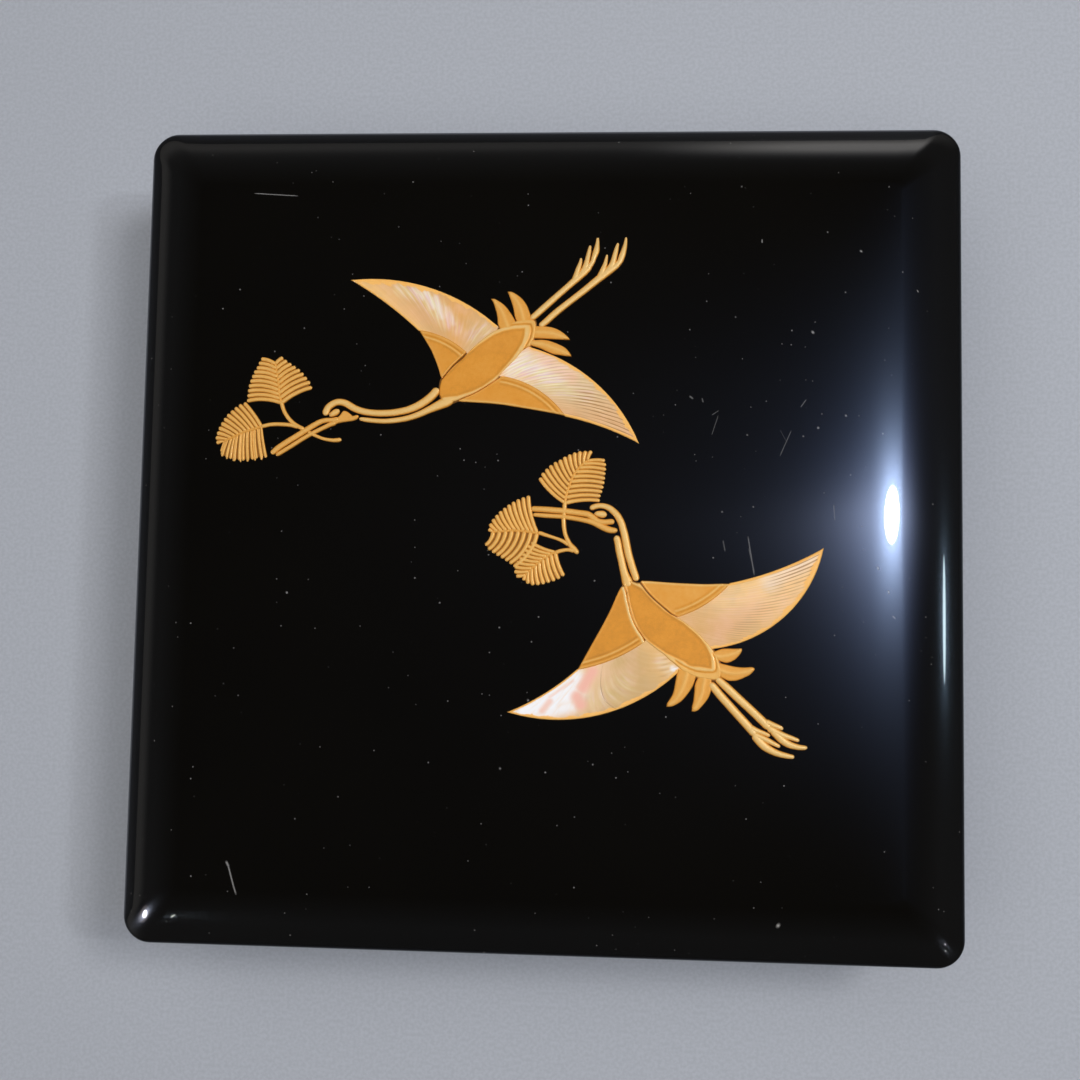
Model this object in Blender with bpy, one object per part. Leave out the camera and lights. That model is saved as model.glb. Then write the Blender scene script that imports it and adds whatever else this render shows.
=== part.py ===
"""Square black lacquer box with a lift-off lid and mother-of-pearl inlays. Metres, +Z up.

The origin is the middle of the underside. The body is a tray with a low base band. The lid is a hollow
cap that slides over the tray's walls and lands on the band. Five thin pieces of shell lie in shallow
pockets in the lid's top.
"""

import math

import bmesh
import bpy
from mathutils import Vector

MM = 0.001

# The outline seen from above
HALF_SIDE = 120 * MM
CORNER_RADIUS = 8 * MM
SIDE_STEPS = 8
CORNER_STEPS = 6

# Heights
BASE_BAND_TOP = 10 * MM
FIT_GAP = 0.3 * MM
SHOULDER_START = 53.6 * MM
SHOULDER_RISE = 9.9 * MM
DOME_RISE = 3 * MM
DOME_POWER = 6

# The lid
SHOULDER_WIDTH = 19 * MM
SHOULDER_POWER = 1.9
PANEL_FALL = 0.185
MITRE_RADIUS = 2.5 * MM
SHOULDER_STEPS = 8
LID_WALL = 4 * MM
EDGE_BREAK = 0.6 * MM
PANEL_HALF = HALF_SIDE - SHOULDER_WIDTH
PANEL_RINGS = (0.95, 0.88, 0.78, 0.65, 0.48, 0.25, 0.06)

# The body
SLIDE_CLEARANCE = 0.5 * MM
BODY_WALL = 4 * MM
BODY_WALL_TOP = 50 * MM
FLOOR_TOP = 5 * MM
FLOOR_FILLET = 3 * MM
FILLET_STEPS = 4

# The shell inlays
SHELL_THICKNESS = 0.6 * MM
POCKET_DEPTH = SHELL_THICKNESS + FIT_GAP
POCKET_MARGIN = 0.35 * MM
TIP_REACH = 3.0
BLUNT_SHARE = 0.35
WING_STEPS = 10
SEAM_STEP = 12
CUTTER_HEADROOM = 2 * MM


def clear_scene():
    for obj in list(bpy.data.objects):
        bpy.data.objects.remove(obj, do_unlink=True)


def lacquer_material():
    material = bpy.data.materials.new("black lacquer")
    material.use_nodes = True
    surface = material.node_tree.nodes["Principled BSDF"]
    surface.inputs["Base Color"].default_value = (0.004, 0.0035, 0.003, 1)
    surface.inputs["Roughness"].default_value = 0.06
    surface.inputs["Metallic"].default_value = 0.0
    return material


def shell_material():
    material = bpy.data.materials.new("mother-of-pearl")
    material.use_nodes = True
    surface = material.node_tree.nodes["Principled BSDF"]
    surface.inputs["Base Color"].default_value = (0.82, 0.6, 0.42, 1)
    surface.inputs["Roughness"].default_value = 0.22
    surface.inputs["Metallic"].default_value = 0.0
    return material


def finished(name, bm, material, smooth_below=math.radians(35)):
    """The named object that holds this mesh, triangulated, facing out and smooth where it is round."""
    bmesh.ops.triangulate(bm, faces=bm.faces[:])
    bmesh.ops.recalc_face_normals(bm, faces=bm.faces[:])
    mesh = bpy.data.meshes.new(name)
    bm.to_mesh(mesh)
    bm.free()
    mesh.shade_smooth()
    mesh.set_sharp_from_angle(angle=smooth_below)
    mesh.materials.append(material)
    obj = bpy.data.objects.new(name, mesh)
    bpy.context.scene.collection.objects.link(obj)
    return obj


def rounded_square(half, radius):
    """Points anticlockwise round a square of this half side, with arcs at its corners."""
    points = []
    reach = half - radius
    for quarter in range(4):
        turn = math.radians(90 * quarter)
        centre = Vector((reach, reach))
        for step in range(CORNER_STEPS + 1):
            angle = math.radians(90) * step / CORNER_STEPS
            points.append(turned(centre + radius * Vector((math.cos(angle), math.sin(angle))), turn))
        for step in range(1, SIDE_STEPS):
            along = reach * (1 - 2 * step / SIDE_STEPS)
            points.append(turned(Vector((along, half)), turn))
    return points


def turned(point, angle):
    return Vector((
        point.x * math.cos(angle) - point.y * math.sin(angle),
        point.x * math.sin(angle) + point.y * math.cos(angle),
    ))


def dome(x, y, half=PANEL_HALF):
    """How far the lid's panel stands above its own edge. It falls to nothing at the shoulder."""
    fall_x = max(0.0, 1 - (x / half) ** DOME_POWER)
    fall_y = max(0.0, 1 - (y / half) ** DOME_POWER)
    return DOME_RISE * fall_x * fall_y


def ring(bm, half, radius, height, domed=0.0):
    """One closed loop of vertices. domed is the half side over which the dome spreads, or 0 for flat."""
    vertices = []
    for point in rounded_square(half, radius):
        lift = dome(point.x, point.y, domed) if domed else 0.0
        vertices.append(bm.verts.new((point.x, point.y, height + lift)))
    return vertices


def skin(bm, rings):
    """A closed surface through the rings in order, with a cap on the first and on the last."""
    for lower, upper in zip(rings, rings[1:]):
        count = len(lower)
        for i in range(count):
            j = (i + 1) % count
            bm.faces.new((lower[i], lower[j], upper[j], upper[i]))
    bm.faces.new(rings[0])
    bm.faces.new(rings[-1])


def shoulder(bm, half, start_radius, width, rise, steps):
    """Rings from the vertical wall to the edge of the panel: steepest at the wall, with a slight fall at the panel."""
    rings = []
    for step in range(steps + 1):
        inset = width * step / steps
        out = 1 - inset / width
        fall = PANEL_FALL * width * out + (rise - PANEL_FALL * width) * out ** SHOULDER_POWER
        radius = start_radius + (MITRE_RADIUS - start_radius) * inset / width
        rings.append(ring(bm, half - inset, radius, SHOULDER_START + rise - fall))
    return rings


def panel(bm, half, height):
    """Rings from the edge of the domed panel towards its middle."""
    rings = []
    for share in PANEL_RINGS:
        rings.append(ring(bm, half * share, MITRE_RADIUS * share, height, domed=half))
    return rings


def make_lid(material):
    """A cap: out over the top, round the rim and back under the ceiling."""
    bm = bmesh.new()
    rim = BASE_BAND_TOP + FIT_GAP
    outer_top = SHOULDER_START + SHOULDER_RISE
    inner_half = HALF_SIDE - LID_WALL
    inner_radius = CORNER_RADIUS - LID_WALL
    inner_width = SHOULDER_WIDTH - LID_WALL
    inner_rise = SHOULDER_RISE - LID_WALL

    outside = [
        ring(bm, HALF_SIDE - EDGE_BREAK, CORNER_RADIUS - EDGE_BREAK, rim),
        ring(bm, HALF_SIDE, CORNER_RADIUS, rim + EDGE_BREAK),
    ]
    outside += shoulder(bm, HALF_SIDE, CORNER_RADIUS, SHOULDER_WIDTH, SHOULDER_RISE, SHOULDER_STEPS)
    outside += panel(bm, PANEL_HALF, outer_top)

    inside = [
        ring(bm, inner_half + EDGE_BREAK, inner_radius + EDGE_BREAK, rim),
        ring(bm, inner_half, inner_radius, rim + EDGE_BREAK),
    ]
    inside += shoulder(bm, inner_half, inner_radius, inner_width, inner_rise, SHOULDER_STEPS // 2)
    inside += panel(bm, PANEL_HALF, outer_top - LID_WALL)

    skin(bm, outside[::-1] + inside)
    return finished("lid", bm, material)


def make_body(material):
    """A tray: underside, base band, ledge, up the outside of the wall, over and down to the floor."""
    bm = bmesh.new()
    wall_half = HALF_SIDE - LID_WALL - SLIDE_CLEARANCE
    wall_radius = CORNER_RADIUS - LID_WALL - SLIDE_CLEARANCE
    inner_half = wall_half - BODY_WALL
    inner_radius = wall_radius - EDGE_BREAK

    rings = [
        ring(bm, HALF_SIDE - EDGE_BREAK, CORNER_RADIUS - EDGE_BREAK, 0.0),
        ring(bm, HALF_SIDE, CORNER_RADIUS, EDGE_BREAK),
        ring(bm, HALF_SIDE, CORNER_RADIUS, BASE_BAND_TOP - EDGE_BREAK),
        ring(bm, HALF_SIDE - EDGE_BREAK, CORNER_RADIUS - EDGE_BREAK, BASE_BAND_TOP),
        ring(bm, wall_half, wall_radius, BASE_BAND_TOP),
        ring(bm, wall_half, wall_radius, BODY_WALL_TOP - EDGE_BREAK),
        ring(bm, wall_half - EDGE_BREAK, wall_radius - EDGE_BREAK, BODY_WALL_TOP),
        ring(bm, inner_half + EDGE_BREAK, inner_radius + EDGE_BREAK, BODY_WALL_TOP),
        ring(bm, inner_half, inner_radius, BODY_WALL_TOP - EDGE_BREAK),
    ]
    for step in range(FILLET_STEPS + 1):
        angle = math.radians(90) * step / FILLET_STEPS
        inset = FLOOR_FILLET * (1 - math.cos(angle))
        drop = FLOOR_FILLET * math.sin(angle)
        radius = max(MITRE_RADIUS, inner_radius - inset)
        rings.append(ring(bm, inner_half - inset, radius, FLOOR_TOP + FLOOR_FILLET - drop))
    skin(bm, rings)
    return finished("box_body", bm, material)


def arc(start, end, bulge, steps=WING_STEPS):
    """Points along a circular arc. bulge is its rise over the chord, to the left of the way it runs."""
    start = Vector(start)
    end = Vector(end)
    chord = end - start
    left = Vector((-chord.y, chord.x)).normalized()
    radius = (chord.length ** 2 / 4 + bulge ** 2) / (2 * bulge)
    centre = (start + end) / 2 + left * (bulge - radius)
    spread = math.asin(max(-1.0, min(1.0, chord.length / 2 / radius)))
    return [centre + turned(start - centre, -2 * spread * step / steps) for step in range(steps + 1)]


def resampled(path, shares):
    """Points at these shares of the path's length."""
    lengths = [0.0]
    for a, b in zip(path, path[1:]):
        lengths.append(lengths[-1] + (b - a).length)
    points = []
    i = 0
    for share in shares:
        target = lengths[-1] * share
        while i < len(path) - 2 and lengths[i + 1] < target:
            i += 1
        along = (target - lengths[i]) / (lengths[i + 1] - lengths[i])
        points.append(path[i].lerp(path[i + 1], along))
    return points


def even_shares(steps, first=0.0, last=1.0):
    return [first + (last - first) * step / steps for step in range(steps + 1)]


def joined(*arcs):
    """One path through arcs that follow each other."""
    path = list(arcs[0])
    for following in arcs[1:]:
        path += following[1:]
    return path


def grown(outline, margin):
    """A closed anticlockwise outline moved outwards, with its sharp points held to a short reach."""
    points = []
    count = len(outline)
    for i in range(count):
        into = (outline[i] - outline[i - 1]).normalized()
        out_of = (outline[(i + 1) % count] - outline[i]).normalized()
        normal = Vector((into.y, -into.x)) + Vector((out_of.y, -out_of.x))
        normal.normalize()
        lean = max(1 / TIP_REACH, normal.dot(Vector((into.y, -into.x))))
        points.append(outline[i] + normal * margin / lean)
    return points


def slab_between(bm, side_a, side_b, low, high):
    """A thin solid between two paths of equal length that follow the lid's dome."""
    top = SHOULDER_START + SHOULDER_RISE
    corners = []
    for offset in (low, high):
        corners.append([
            [bm.verts.new((p.x, p.y, top + dome(p.x, p.y) + offset)) for p in side]
            for side in (side_a, side_b)
        ])
    (low_a, low_b), (high_a, high_b) = corners
    last = len(side_a) - 1
    for i in range(last):
        bm.faces.new((high_a[i], high_a[i + 1], high_b[i + 1], high_b[i]))
        bm.faces.new((low_b[i], low_b[i + 1], low_a[i + 1], low_a[i]))
        bm.faces.new((low_a[i], low_a[i + 1], high_a[i + 1], high_a[i]))
        bm.faces.new((high_b[i], high_b[i + 1], low_b[i + 1], low_b[i]))
    bm.faces.new((low_a[0], high_a[0], high_b[0], low_b[0]))
    bm.faces.new((low_b[last], high_b[last], high_a[last], low_a[last]))


class Wing:
    """The shell area of one wing: a leading path and a trailing path, both from the tip to the root. slant is where
    the joint between the wing's two pieces meets the trailing path, as a share of it."""

    def __init__(self, name, leading, trailing, slant=None):
        self.name = name
        steps = 2 * WING_STEPS
        even = even_shares(steps)
        self.leading = resampled(leading, even)
        if slant is not None:
            even = even_shares(SEAM_STEP, 0.0, slant) + even_shares(steps - SEAM_STEP, slant, 1.0)[1:]
        self.trailing = resampled(trailing, even)
        # The very tip is blunted, so that both paths keep a real width there.
        self.leading[0] = self.leading[0].lerp(self.leading[1], BLUNT_SHARE)
        self.trailing[0] = self.trailing[0].lerp(self.trailing[1], BLUNT_SHARE)

    def part(self, first, last):
        """The two paths between these steps, counted from the tip."""
        return self.leading[first:last + 1], self.trailing[first:last + 1]

    def pocket(self):
        """The two paths of the pocket in the lid, grown on all sides."""
        count = len(self.leading)
        outline = self.leading + self.trailing[::-1]
        if signed_area(outline) < 0:
            outer = grown(outline[::-1], POCKET_MARGIN)[::-1]
        else:
            outer = grown(outline, POCKET_MARGIN)
        return outer[:count], outer[count:][::-1]


def signed_area(outline):
    total = 0.0
    for i, point in enumerate(outline):
        following = outline[(i + 1) % len(outline)]
        total += point.x * following.y - following.x * point.y
    return total / 2


def mm(x, y):
    return Vector((x * MM, y * MM))


def wings():
    """The four wings. Lengths are in millimetres from the middle of the lid, x to the right, y away."""
    tip, shoulder_end = mm(-55.8, 71.7), mm(-13.7, 58.8)
    band_end, band_foot = mm(-35.8, 56.9), mm(-22.0, 50.5)
    upper_left = Wing(
        "upper_crane_left_wing_shell",
        arc(tip, shoulder_end, 4.6 * MM),
        joined(arc(tip, band_end, 0.7 * MM), arc(band_end, band_foot, 1.2 * MM)),
    )

    tip, tail_corner = mm(27.4, 24.9), mm(-3.3, 52.2)
    band_end, band_foot = mm(6.4, 32.5), mm(-11.6, 43.7)
    upper_right = Wing(
        "upper_crane_right_wing_shell",
        arc(tip, tail_corner, -4.7 * MM),
        joined(arc(tip, band_end, -0.8 * MM), arc(band_end, band_foot, -2.2 * MM)),
    )

    tip, tail_corner = mm(78.8, -3.7), mm(48.5, -32.1)
    band_end, band_foot = mm(52.9, -13.8), mm(38.7, -23.3)
    lower_right = Wing(
        "lower_crane_right_wing_shell",
        arc(tip, tail_corner, 6.7 * MM),
        joined(arc(tip, band_end, 1.1 * MM), arc(band_end, band_foot, 1.2 * MM)),
    )

    tip, tail_corner = mm(-8.3, -50.7), mm(39.5, -38.3)
    band_end, band_foot = mm(11.0, -38.4), mm(28.4, -31.1)
    lower_left = Wing(
        "lower_crane_left_wing_shell",
        arc(tip, tail_corner, -6.7 * MM),
        joined(arc(tip, band_end, -1.0 * MM), arc(band_end, band_foot, -1.0 * MM)),
        slant=0.705,
    )
    return upper_left, upper_right, lower_right, lower_left


def make_shell(name, side_a, side_b, material):
    bm = bmesh.new()
    slab_between(bm, side_a, side_b, -SHELL_THICKNESS, 0.0)
    return finished(name, bm, material)


def make_shells(wing, material):
    """One piece of shell for the wing, or two that meet at the seam with a hair's gap."""
    last = len(wing.leading) - 1
    if wing.name != "lower_crane_left_wing_shell":
        make_shell(wing.name, *wing.part(0, last), material)
        return
    make_shell(wing.name + "_tip", *wing.part(0, SEAM_STEP), material)
    root_a, root_b = wing.part(SEAM_STEP, last)
    for path in (root_a, root_b):
        step = path[1] - path[0]
        path[0] = path[0] + step.normalized() * FIT_GAP
    make_shell(wing.name + "_root", root_a, root_b, material)


def cut_pocket(lid, wing):
    bm = bmesh.new()
    slab_between(bm, *wing.pocket(), -POCKET_DEPTH, CUTTER_HEADROOM)
    cutter = finished(wing.name + "_pocket", bm, lid.data.materials[0])
    cutter.hide_render = True
    cutter.display_type = "WIRE"
    cut = lid.modifiers.new(wing.name + " pocket", "BOOLEAN")
    cut.operation = "DIFFERENCE"
    cut.object = cutter


def main():
    clear_scene()
    lacquer = lacquer_material()
    shell = shell_material()
    make_body(lacquer)
    lid = make_lid(lacquer)
    for wing in wings():
        cut_pocket(lid, wing)
        make_shells(wing, shell)


main()
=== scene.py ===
"""Square black lacquer box with a lift-off lid, raised gold cranes and mother-of-pearl wings."""

import math

import bmesh
import bpy
import numpy as np
from bpy.props import FloatProperty, FloatVectorProperty, PointerProperty
from mathutils import Matrix, Vector


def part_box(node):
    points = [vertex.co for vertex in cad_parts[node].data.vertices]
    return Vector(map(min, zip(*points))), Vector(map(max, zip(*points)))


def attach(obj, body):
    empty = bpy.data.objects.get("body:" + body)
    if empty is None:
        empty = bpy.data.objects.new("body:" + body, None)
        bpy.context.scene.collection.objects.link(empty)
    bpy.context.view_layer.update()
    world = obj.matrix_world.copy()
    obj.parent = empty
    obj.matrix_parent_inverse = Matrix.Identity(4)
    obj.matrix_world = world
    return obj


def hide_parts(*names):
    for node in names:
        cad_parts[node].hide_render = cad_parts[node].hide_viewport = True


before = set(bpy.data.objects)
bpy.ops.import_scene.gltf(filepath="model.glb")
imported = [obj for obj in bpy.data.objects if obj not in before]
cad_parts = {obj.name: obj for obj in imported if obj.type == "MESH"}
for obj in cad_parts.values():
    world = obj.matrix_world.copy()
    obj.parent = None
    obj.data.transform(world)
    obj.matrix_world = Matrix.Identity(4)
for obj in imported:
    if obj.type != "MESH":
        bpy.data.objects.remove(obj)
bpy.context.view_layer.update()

bl_info = {
    "name": "Lacquer Box with Cranes",
    "version": (1, 0, 0),
    "blender": (4, 5, 0),
    "location": "3D View > Sidebar > Lacquer Box",
    "description": "Builds a square lacquer box with a crane and pine picture on its lid",
    "category": "Add Mesh",
}

MM = 0.001
SINK = 0.00035
MERGE = 0.000002
SUNK_DEPTH = 0.09
PANEL_FALL = 0.185
SHOULDER_POWER = 1.9
UNDER_BODY = 1.1
BODY_GROUND = 0.42
GLOW_LINES = ((-0.871, 0.0, 0.491), (0.046, -0.996, 0.081))
GLOW_REACH = (0.19, 0.25)
GLOW_HEIGHT = (0.0187, 0.0272)
BAND_HEIGHT = 0.12
BAND_REACH = 0.1
GLOW_LEAN = 0.55
GLOW_SOFTNESS = 0.019
GLOW_TINT = (4.3, 5.0, 7.2)
BODY = "root"
LID_LOW, LID_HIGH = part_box("lid")
BODY_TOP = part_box("box_body")[1].z

# Outline and steps
CORNER_STEPS = 10
SIDE_STEPS = 40
SHOULDER_STEPS = 26
FILLET_STEPS = 6
PANEL_RINGS = (
    0.995, 0.985, 0.97, 0.95, 0.93, 0.91, 0.88, 0.85, 0.81, 0.76, 0.7, 0.62, 0.53, 0.43, 0.33, 0.23, 0.13, 0.04,
)
SMOOTH_ANGLE = math.radians(30)

# The body under the lid
SLIDE_GAP = 0.5 * MM
SEAM_GAP = 0.3 * MM
BODY_WALL = 4 * MM
BODY_FLOOR = 5 * MM
BODY_FILLET = 3 * MM


def length(name, description, default, **limits):
    return FloatProperty(name=name, description=description, default=default, unit="LENGTH", **limits)


def colour(name, description, default):
    return FloatVectorProperty(
        name=name, description=description, default=default, subtype="COLOR", size=3, min=0, max=1)


class BoxSizes(bpy.types.PropertyGroup):
    """Sizes of the box and its lid."""

    half_side: length("Half side", "From the middle to the widest line", LID_HIGH.x)
    corner_radius: length("Corner radius", "Radius of the upright corners", 8 * MM)
    seam: length("Seam", "Height of the lower edge of the lid", LID_LOW.z)
    shoulder_start: length("Shoulder start", "Height where the upright wall ends", 53.6 * MM)
    shoulder_width: length("Shoulder width", "From the wall to the edge of the panel", 19 * MM)
    shoulder_lift: length("Shoulder lift", "From the wall to the edge of the panel, upwards", 9.9 * MM)
    crown_rise: length("Crown rise", "How far the middle of the lid stands above the edge of its panel", 3 * MM)
    crown_power: FloatProperty(name="Crown power", description="How late the crown falls off", default=6.0)
    lid_wall: length("Lid wall", "Thickness of the lid", 4 * MM)
    edge_break: length("Edge break", "Small rounding of the sharp edges", 0.6 * MM)
    mitre_radius: length("Mitre radius", "Corner radius at the edge of the panel", 2.5 * MM)


class ReliefSizes(bpy.types.PropertyGroup):
    """How far each kind of raised work stands above the lacquer."""

    body: length("Body", "Height of the cranes' bodies", 0.6 * MM)
    panel: length("Panel", "Height of the gold wing panels", 0.42 * MM)
    feather: length("Feather", "Height of the tail feathers", 0.5 * MM)
    shell: length("Shell", "Height of the wing shells", 0.3 * MM)
    leg: length("Leg", "Height of the legs", 0.7 * MM)
    neck: length("Neck", "Height of the necks and beaks", 0.62 * MM)
    needle: length("Needle", "Height of the pine needles", 0.42 * MM)
    twig: length("Twig", "Height of the twigs", 0.6 * MM)


class FinishColours(bpy.types.PropertyGroup):
    """Colours of the finishes."""

    lacquer: colour("Lacquer", "Ground colour of the black lacquer", (0.0022, 0.0018, 0.0012))
    haze_roughness: FloatProperty(name="Haze roughness", description="Roughness under the clear coat", default=0.174)
    # The pale end of the gold tones is painted highlight on strand tops, ridges and rims; the dark end is painted shade
    # at strand and plate edges, and the brown of the grounds and grooves.
    gold_ground: colour("Gold ground", "Brown that shows between raised lines", (0.13, 0.055, 0.012))
    gold_deep: colour("Deep gold", "Gold in the hollows", (0.46, 0.185, 0.024))
    gold: colour("Gold", "Gold of the flat parts", (0.89, 0.362, 0.040))
    gold_light: colour("Light gold", "Gold of the ridges", (1.0, 0.565, 0.15))
    gold_pale_highlight: colour("Pale gold", "Gold of the rubbed edges", (1.0, 0.715, 0.31))


class StageSettings(bpy.types.PropertyGroup):
    """Camera and floor."""

    camera_place: FloatVectorProperty(
        name="Camera place", description="Where the camera stands", subtype="TRANSLATION",
        default=(22.69 * MM, -28.55 * MM, 429.7 * MM),
    )
    camera_turn: FloatVectorProperty(
        name="Camera turn", description="How the camera is turned", subtype="EULER",
        default=(math.radians(4.1513), math.radians(3.4983), math.radians(1.0171)),
    )
    lens: FloatProperty(name="Lens", description="Focal length in millimetres", default=43.33)
    floor_colour: colour("Floor colour", "Colour of the floor", (0.43, 0.45, 0.49))
    backdrop_colour: colour("Backdrop colour", "Colour behind the floor", (0.55, 0.57, 0.61))


def crown(x, y, sizes):
    """How far the lid's top stands above the edge of its panel."""
    half = sizes.half_side - sizes.shoulder_width
    fall_x = np.maximum(0.0, 1 - np.abs(x / half) ** sizes.crown_power)
    fall_y = np.maximum(0.0, 1 - np.abs(y / half) ** sizes.crown_power)
    return sizes.crown_rise * fall_x * fall_y


def panel_height(x, y):
    """Height of the lid's top over places given in millimetres."""
    sizes = bpy.context.scene.box_sizes
    return sizes.shoulder_start + sizes.shoulder_lift + crown(x * MM, y * MM, sizes)


def only(obj):
    """Leaves just this object selected and active."""
    bpy.ops.object.select_all(action="DESELECT")
    obj.select_set(True)
    bpy.context.view_layer.objects.active = obj
    return obj


def rounded_square(half, radius):
    """Points anticlockwise round a square of this half side, with arcs at its corners."""
    points = []
    reach = half - radius
    for quarter in range(4):
        turn = math.radians(90 * quarter)
        cos, sin = math.cos(turn), math.sin(turn)
        corner = []
        for step in range(CORNER_STEPS + 1):
            angle = math.radians(90) * step / CORNER_STEPS
            corner.append((reach + radius * math.cos(angle), reach + radius * math.sin(angle)))
        for step in range(1, SIDE_STEPS):
            corner.append((reach * (1 - 2 * step / SIDE_STEPS), half))
        points += [(x * cos - y * sin, x * sin + y * cos) for x, y in corner]
    return points


class RingStack:
    """A hollow form raised from one loop of edges, each next loop extruded from the last."""

    def __init__(self, name, half):
        count = 4 * (CORNER_STEPS + SIDE_STEPS)
        bpy.ops.object.select_all(action="DESELECT")
        bpy.ops.mesh.primitive_circle_add(vertices=count, radius=half, fill_type="NOTHING", location=(0, 0, 0))
        self.obj = bpy.context.object
        self.obj.name = name
        bpy.ops.object.mode_set(mode="EDIT")
        bpy.ops.mesh.select_mode(type="VERT")
        bpy.ops.mesh.select_all(action="SELECT")
        self.loop = list(range(count))
        self.first = list(range(count))

    def place(self, half, radius, height, domed=None):
        mesh = bmesh.from_edit_mesh(self.obj.data)
        mesh.verts.ensure_lookup_table()
        for index, (x, y) in zip(self.loop, rounded_square(half, radius)):
            lift = crown(x, y, domed) if domed else 0.0
            mesh.verts[index].co = (x, y, height + lift)
        bmesh.update_edit_mesh(self.obj.data)

    def extrude(self, half, radius, height, domed=None):
        mesh = bmesh.from_edit_mesh(self.obj.data)
        mesh.verts.ensure_lookup_table()
        before = {tuple(mesh.verts[index].co): order for order, index in enumerate(self.loop)}
        bpy.ops.mesh.extrude_region_move()
        mesh = bmesh.from_edit_mesh(self.obj.data)
        mesh.verts.ensure_lookup_table()
        loop = [None] * len(self.loop)
        for vert in mesh.verts:
            if vert.select:
                loop[before[tuple(vert.co)]] = vert.index
        self.loop = loop
        self.place(half, radius, height, domed)

    def back_to_first(self):
        """Selects the loop that the form began with, to go on from it the other way."""
        self.select(self.first)
        self.loop = list(self.first)

    def select(self, indices):
        bpy.ops.mesh.select_all(action="DESELECT")
        mesh = bmesh.from_edit_mesh(self.obj.data)
        mesh.verts.ensure_lookup_table()
        for index in indices:
            mesh.verts[index].select = True
        mesh.select_flush(True)
        bmesh.update_edit_mesh(self.obj.data)

    def cap(self):
        bpy.ops.mesh.edge_face_add()

    def finish(self, smooth_below):
        bpy.ops.mesh.select_all(action="SELECT")
        bpy.ops.mesh.normals_make_consistent(inside=False)
        bpy.ops.object.mode_set(mode="OBJECT")
        only(self.obj)
        bpy.ops.object.shade_smooth_by_angle(angle=smooth_below)
        return self.obj


def shoulder_rings(half, start_radius, end_radius, width, lift, start, steps, first=0.0):
    """(half side, corner radius, height) from the upright wall to the edge of the panel. The fall is gentle at the
    panel and steepest at the wall. first is how far in the first ring lies."""
    rings = []
    for step in range(steps + 1):
        inset = first + (width - first) * step / steps
        out = 1 - inset / width
        fall = PANEL_FALL * width * out + (lift - PANEL_FALL * width) * out ** SHOULDER_POWER
        rings.append((half - inset, start_radius + (end_radius - start_radius) * inset / width, start + lift - fall))
    return rings


def make_lid(sizes):
    inner_half = sizes.half_side - sizes.lid_wall
    inner_radius = sizes.corner_radius - sizes.lid_wall
    panel_half = sizes.half_side - sizes.shoulder_width
    brk = sizes.edge_break

    stack = RingStack("lacquer_lid", sizes.half_side)
    stack.place(sizes.half_side - sizes.edge_break, sizes.corner_radius - sizes.edge_break, sizes.seam)
    for share in (0.35, 1.0):
        out = sizes.edge_break * (1 - math.sqrt(share))
        stack.extrude(sizes.half_side - out, sizes.corner_radius - out, sizes.seam + sizes.edge_break * share)
    for share in (0.1, 0.5, 0.9, 1.0):
        height = sizes.seam + brk + (sizes.shoulder_start - 0.51 * brk - sizes.seam - brk) * share
        stack.extrude(sizes.half_side, sizes.corner_radius, height)
    for turn in (18, 36):
        out = brk * (1 - math.cos(math.radians(turn)))
        height = sizes.shoulder_start - 0.51 * brk + brk * math.sin(math.radians(turn))
        stack.extrude(sizes.half_side - out, sizes.corner_radius - out, height)
    rings = shoulder_rings(
        sizes.half_side, sizes.corner_radius, sizes.mitre_radius, sizes.shoulder_width, sizes.shoulder_lift,
        sizes.shoulder_start, SHOULDER_STEPS, first=0.41 * brk,
    )
    for half, radius, height in rings:
        stack.extrude(half, radius, height)
    top = sizes.shoulder_start + sizes.shoulder_lift
    for share in PANEL_RINGS:
        stack.extrude(panel_half * share, sizes.mitre_radius * share, top, sizes)
    stack.cap()

    stack.back_to_first()
    stack.extrude(inner_half + sizes.edge_break, inner_radius + sizes.edge_break, sizes.seam)
    stack.extrude(inner_half, inner_radius, sizes.seam + sizes.edge_break)
    stack.extrude(inner_half, inner_radius, sizes.shoulder_start)
    rings = shoulder_rings(
        inner_half, inner_radius, sizes.mitre_radius, inner_half - panel_half, sizes.shoulder_lift - sizes.lid_wall,
        sizes.shoulder_start, SHOULDER_STEPS // 2,
    )
    for half, radius, height in rings:
        stack.extrude(half, radius, height)
    for share in PANEL_RINGS:
        stack.extrude(panel_half * share, sizes.mitre_radius * share, top - sizes.lid_wall, sizes)
    stack.cap()
    return stack.finish(SMOOTH_ANGLE)


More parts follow.
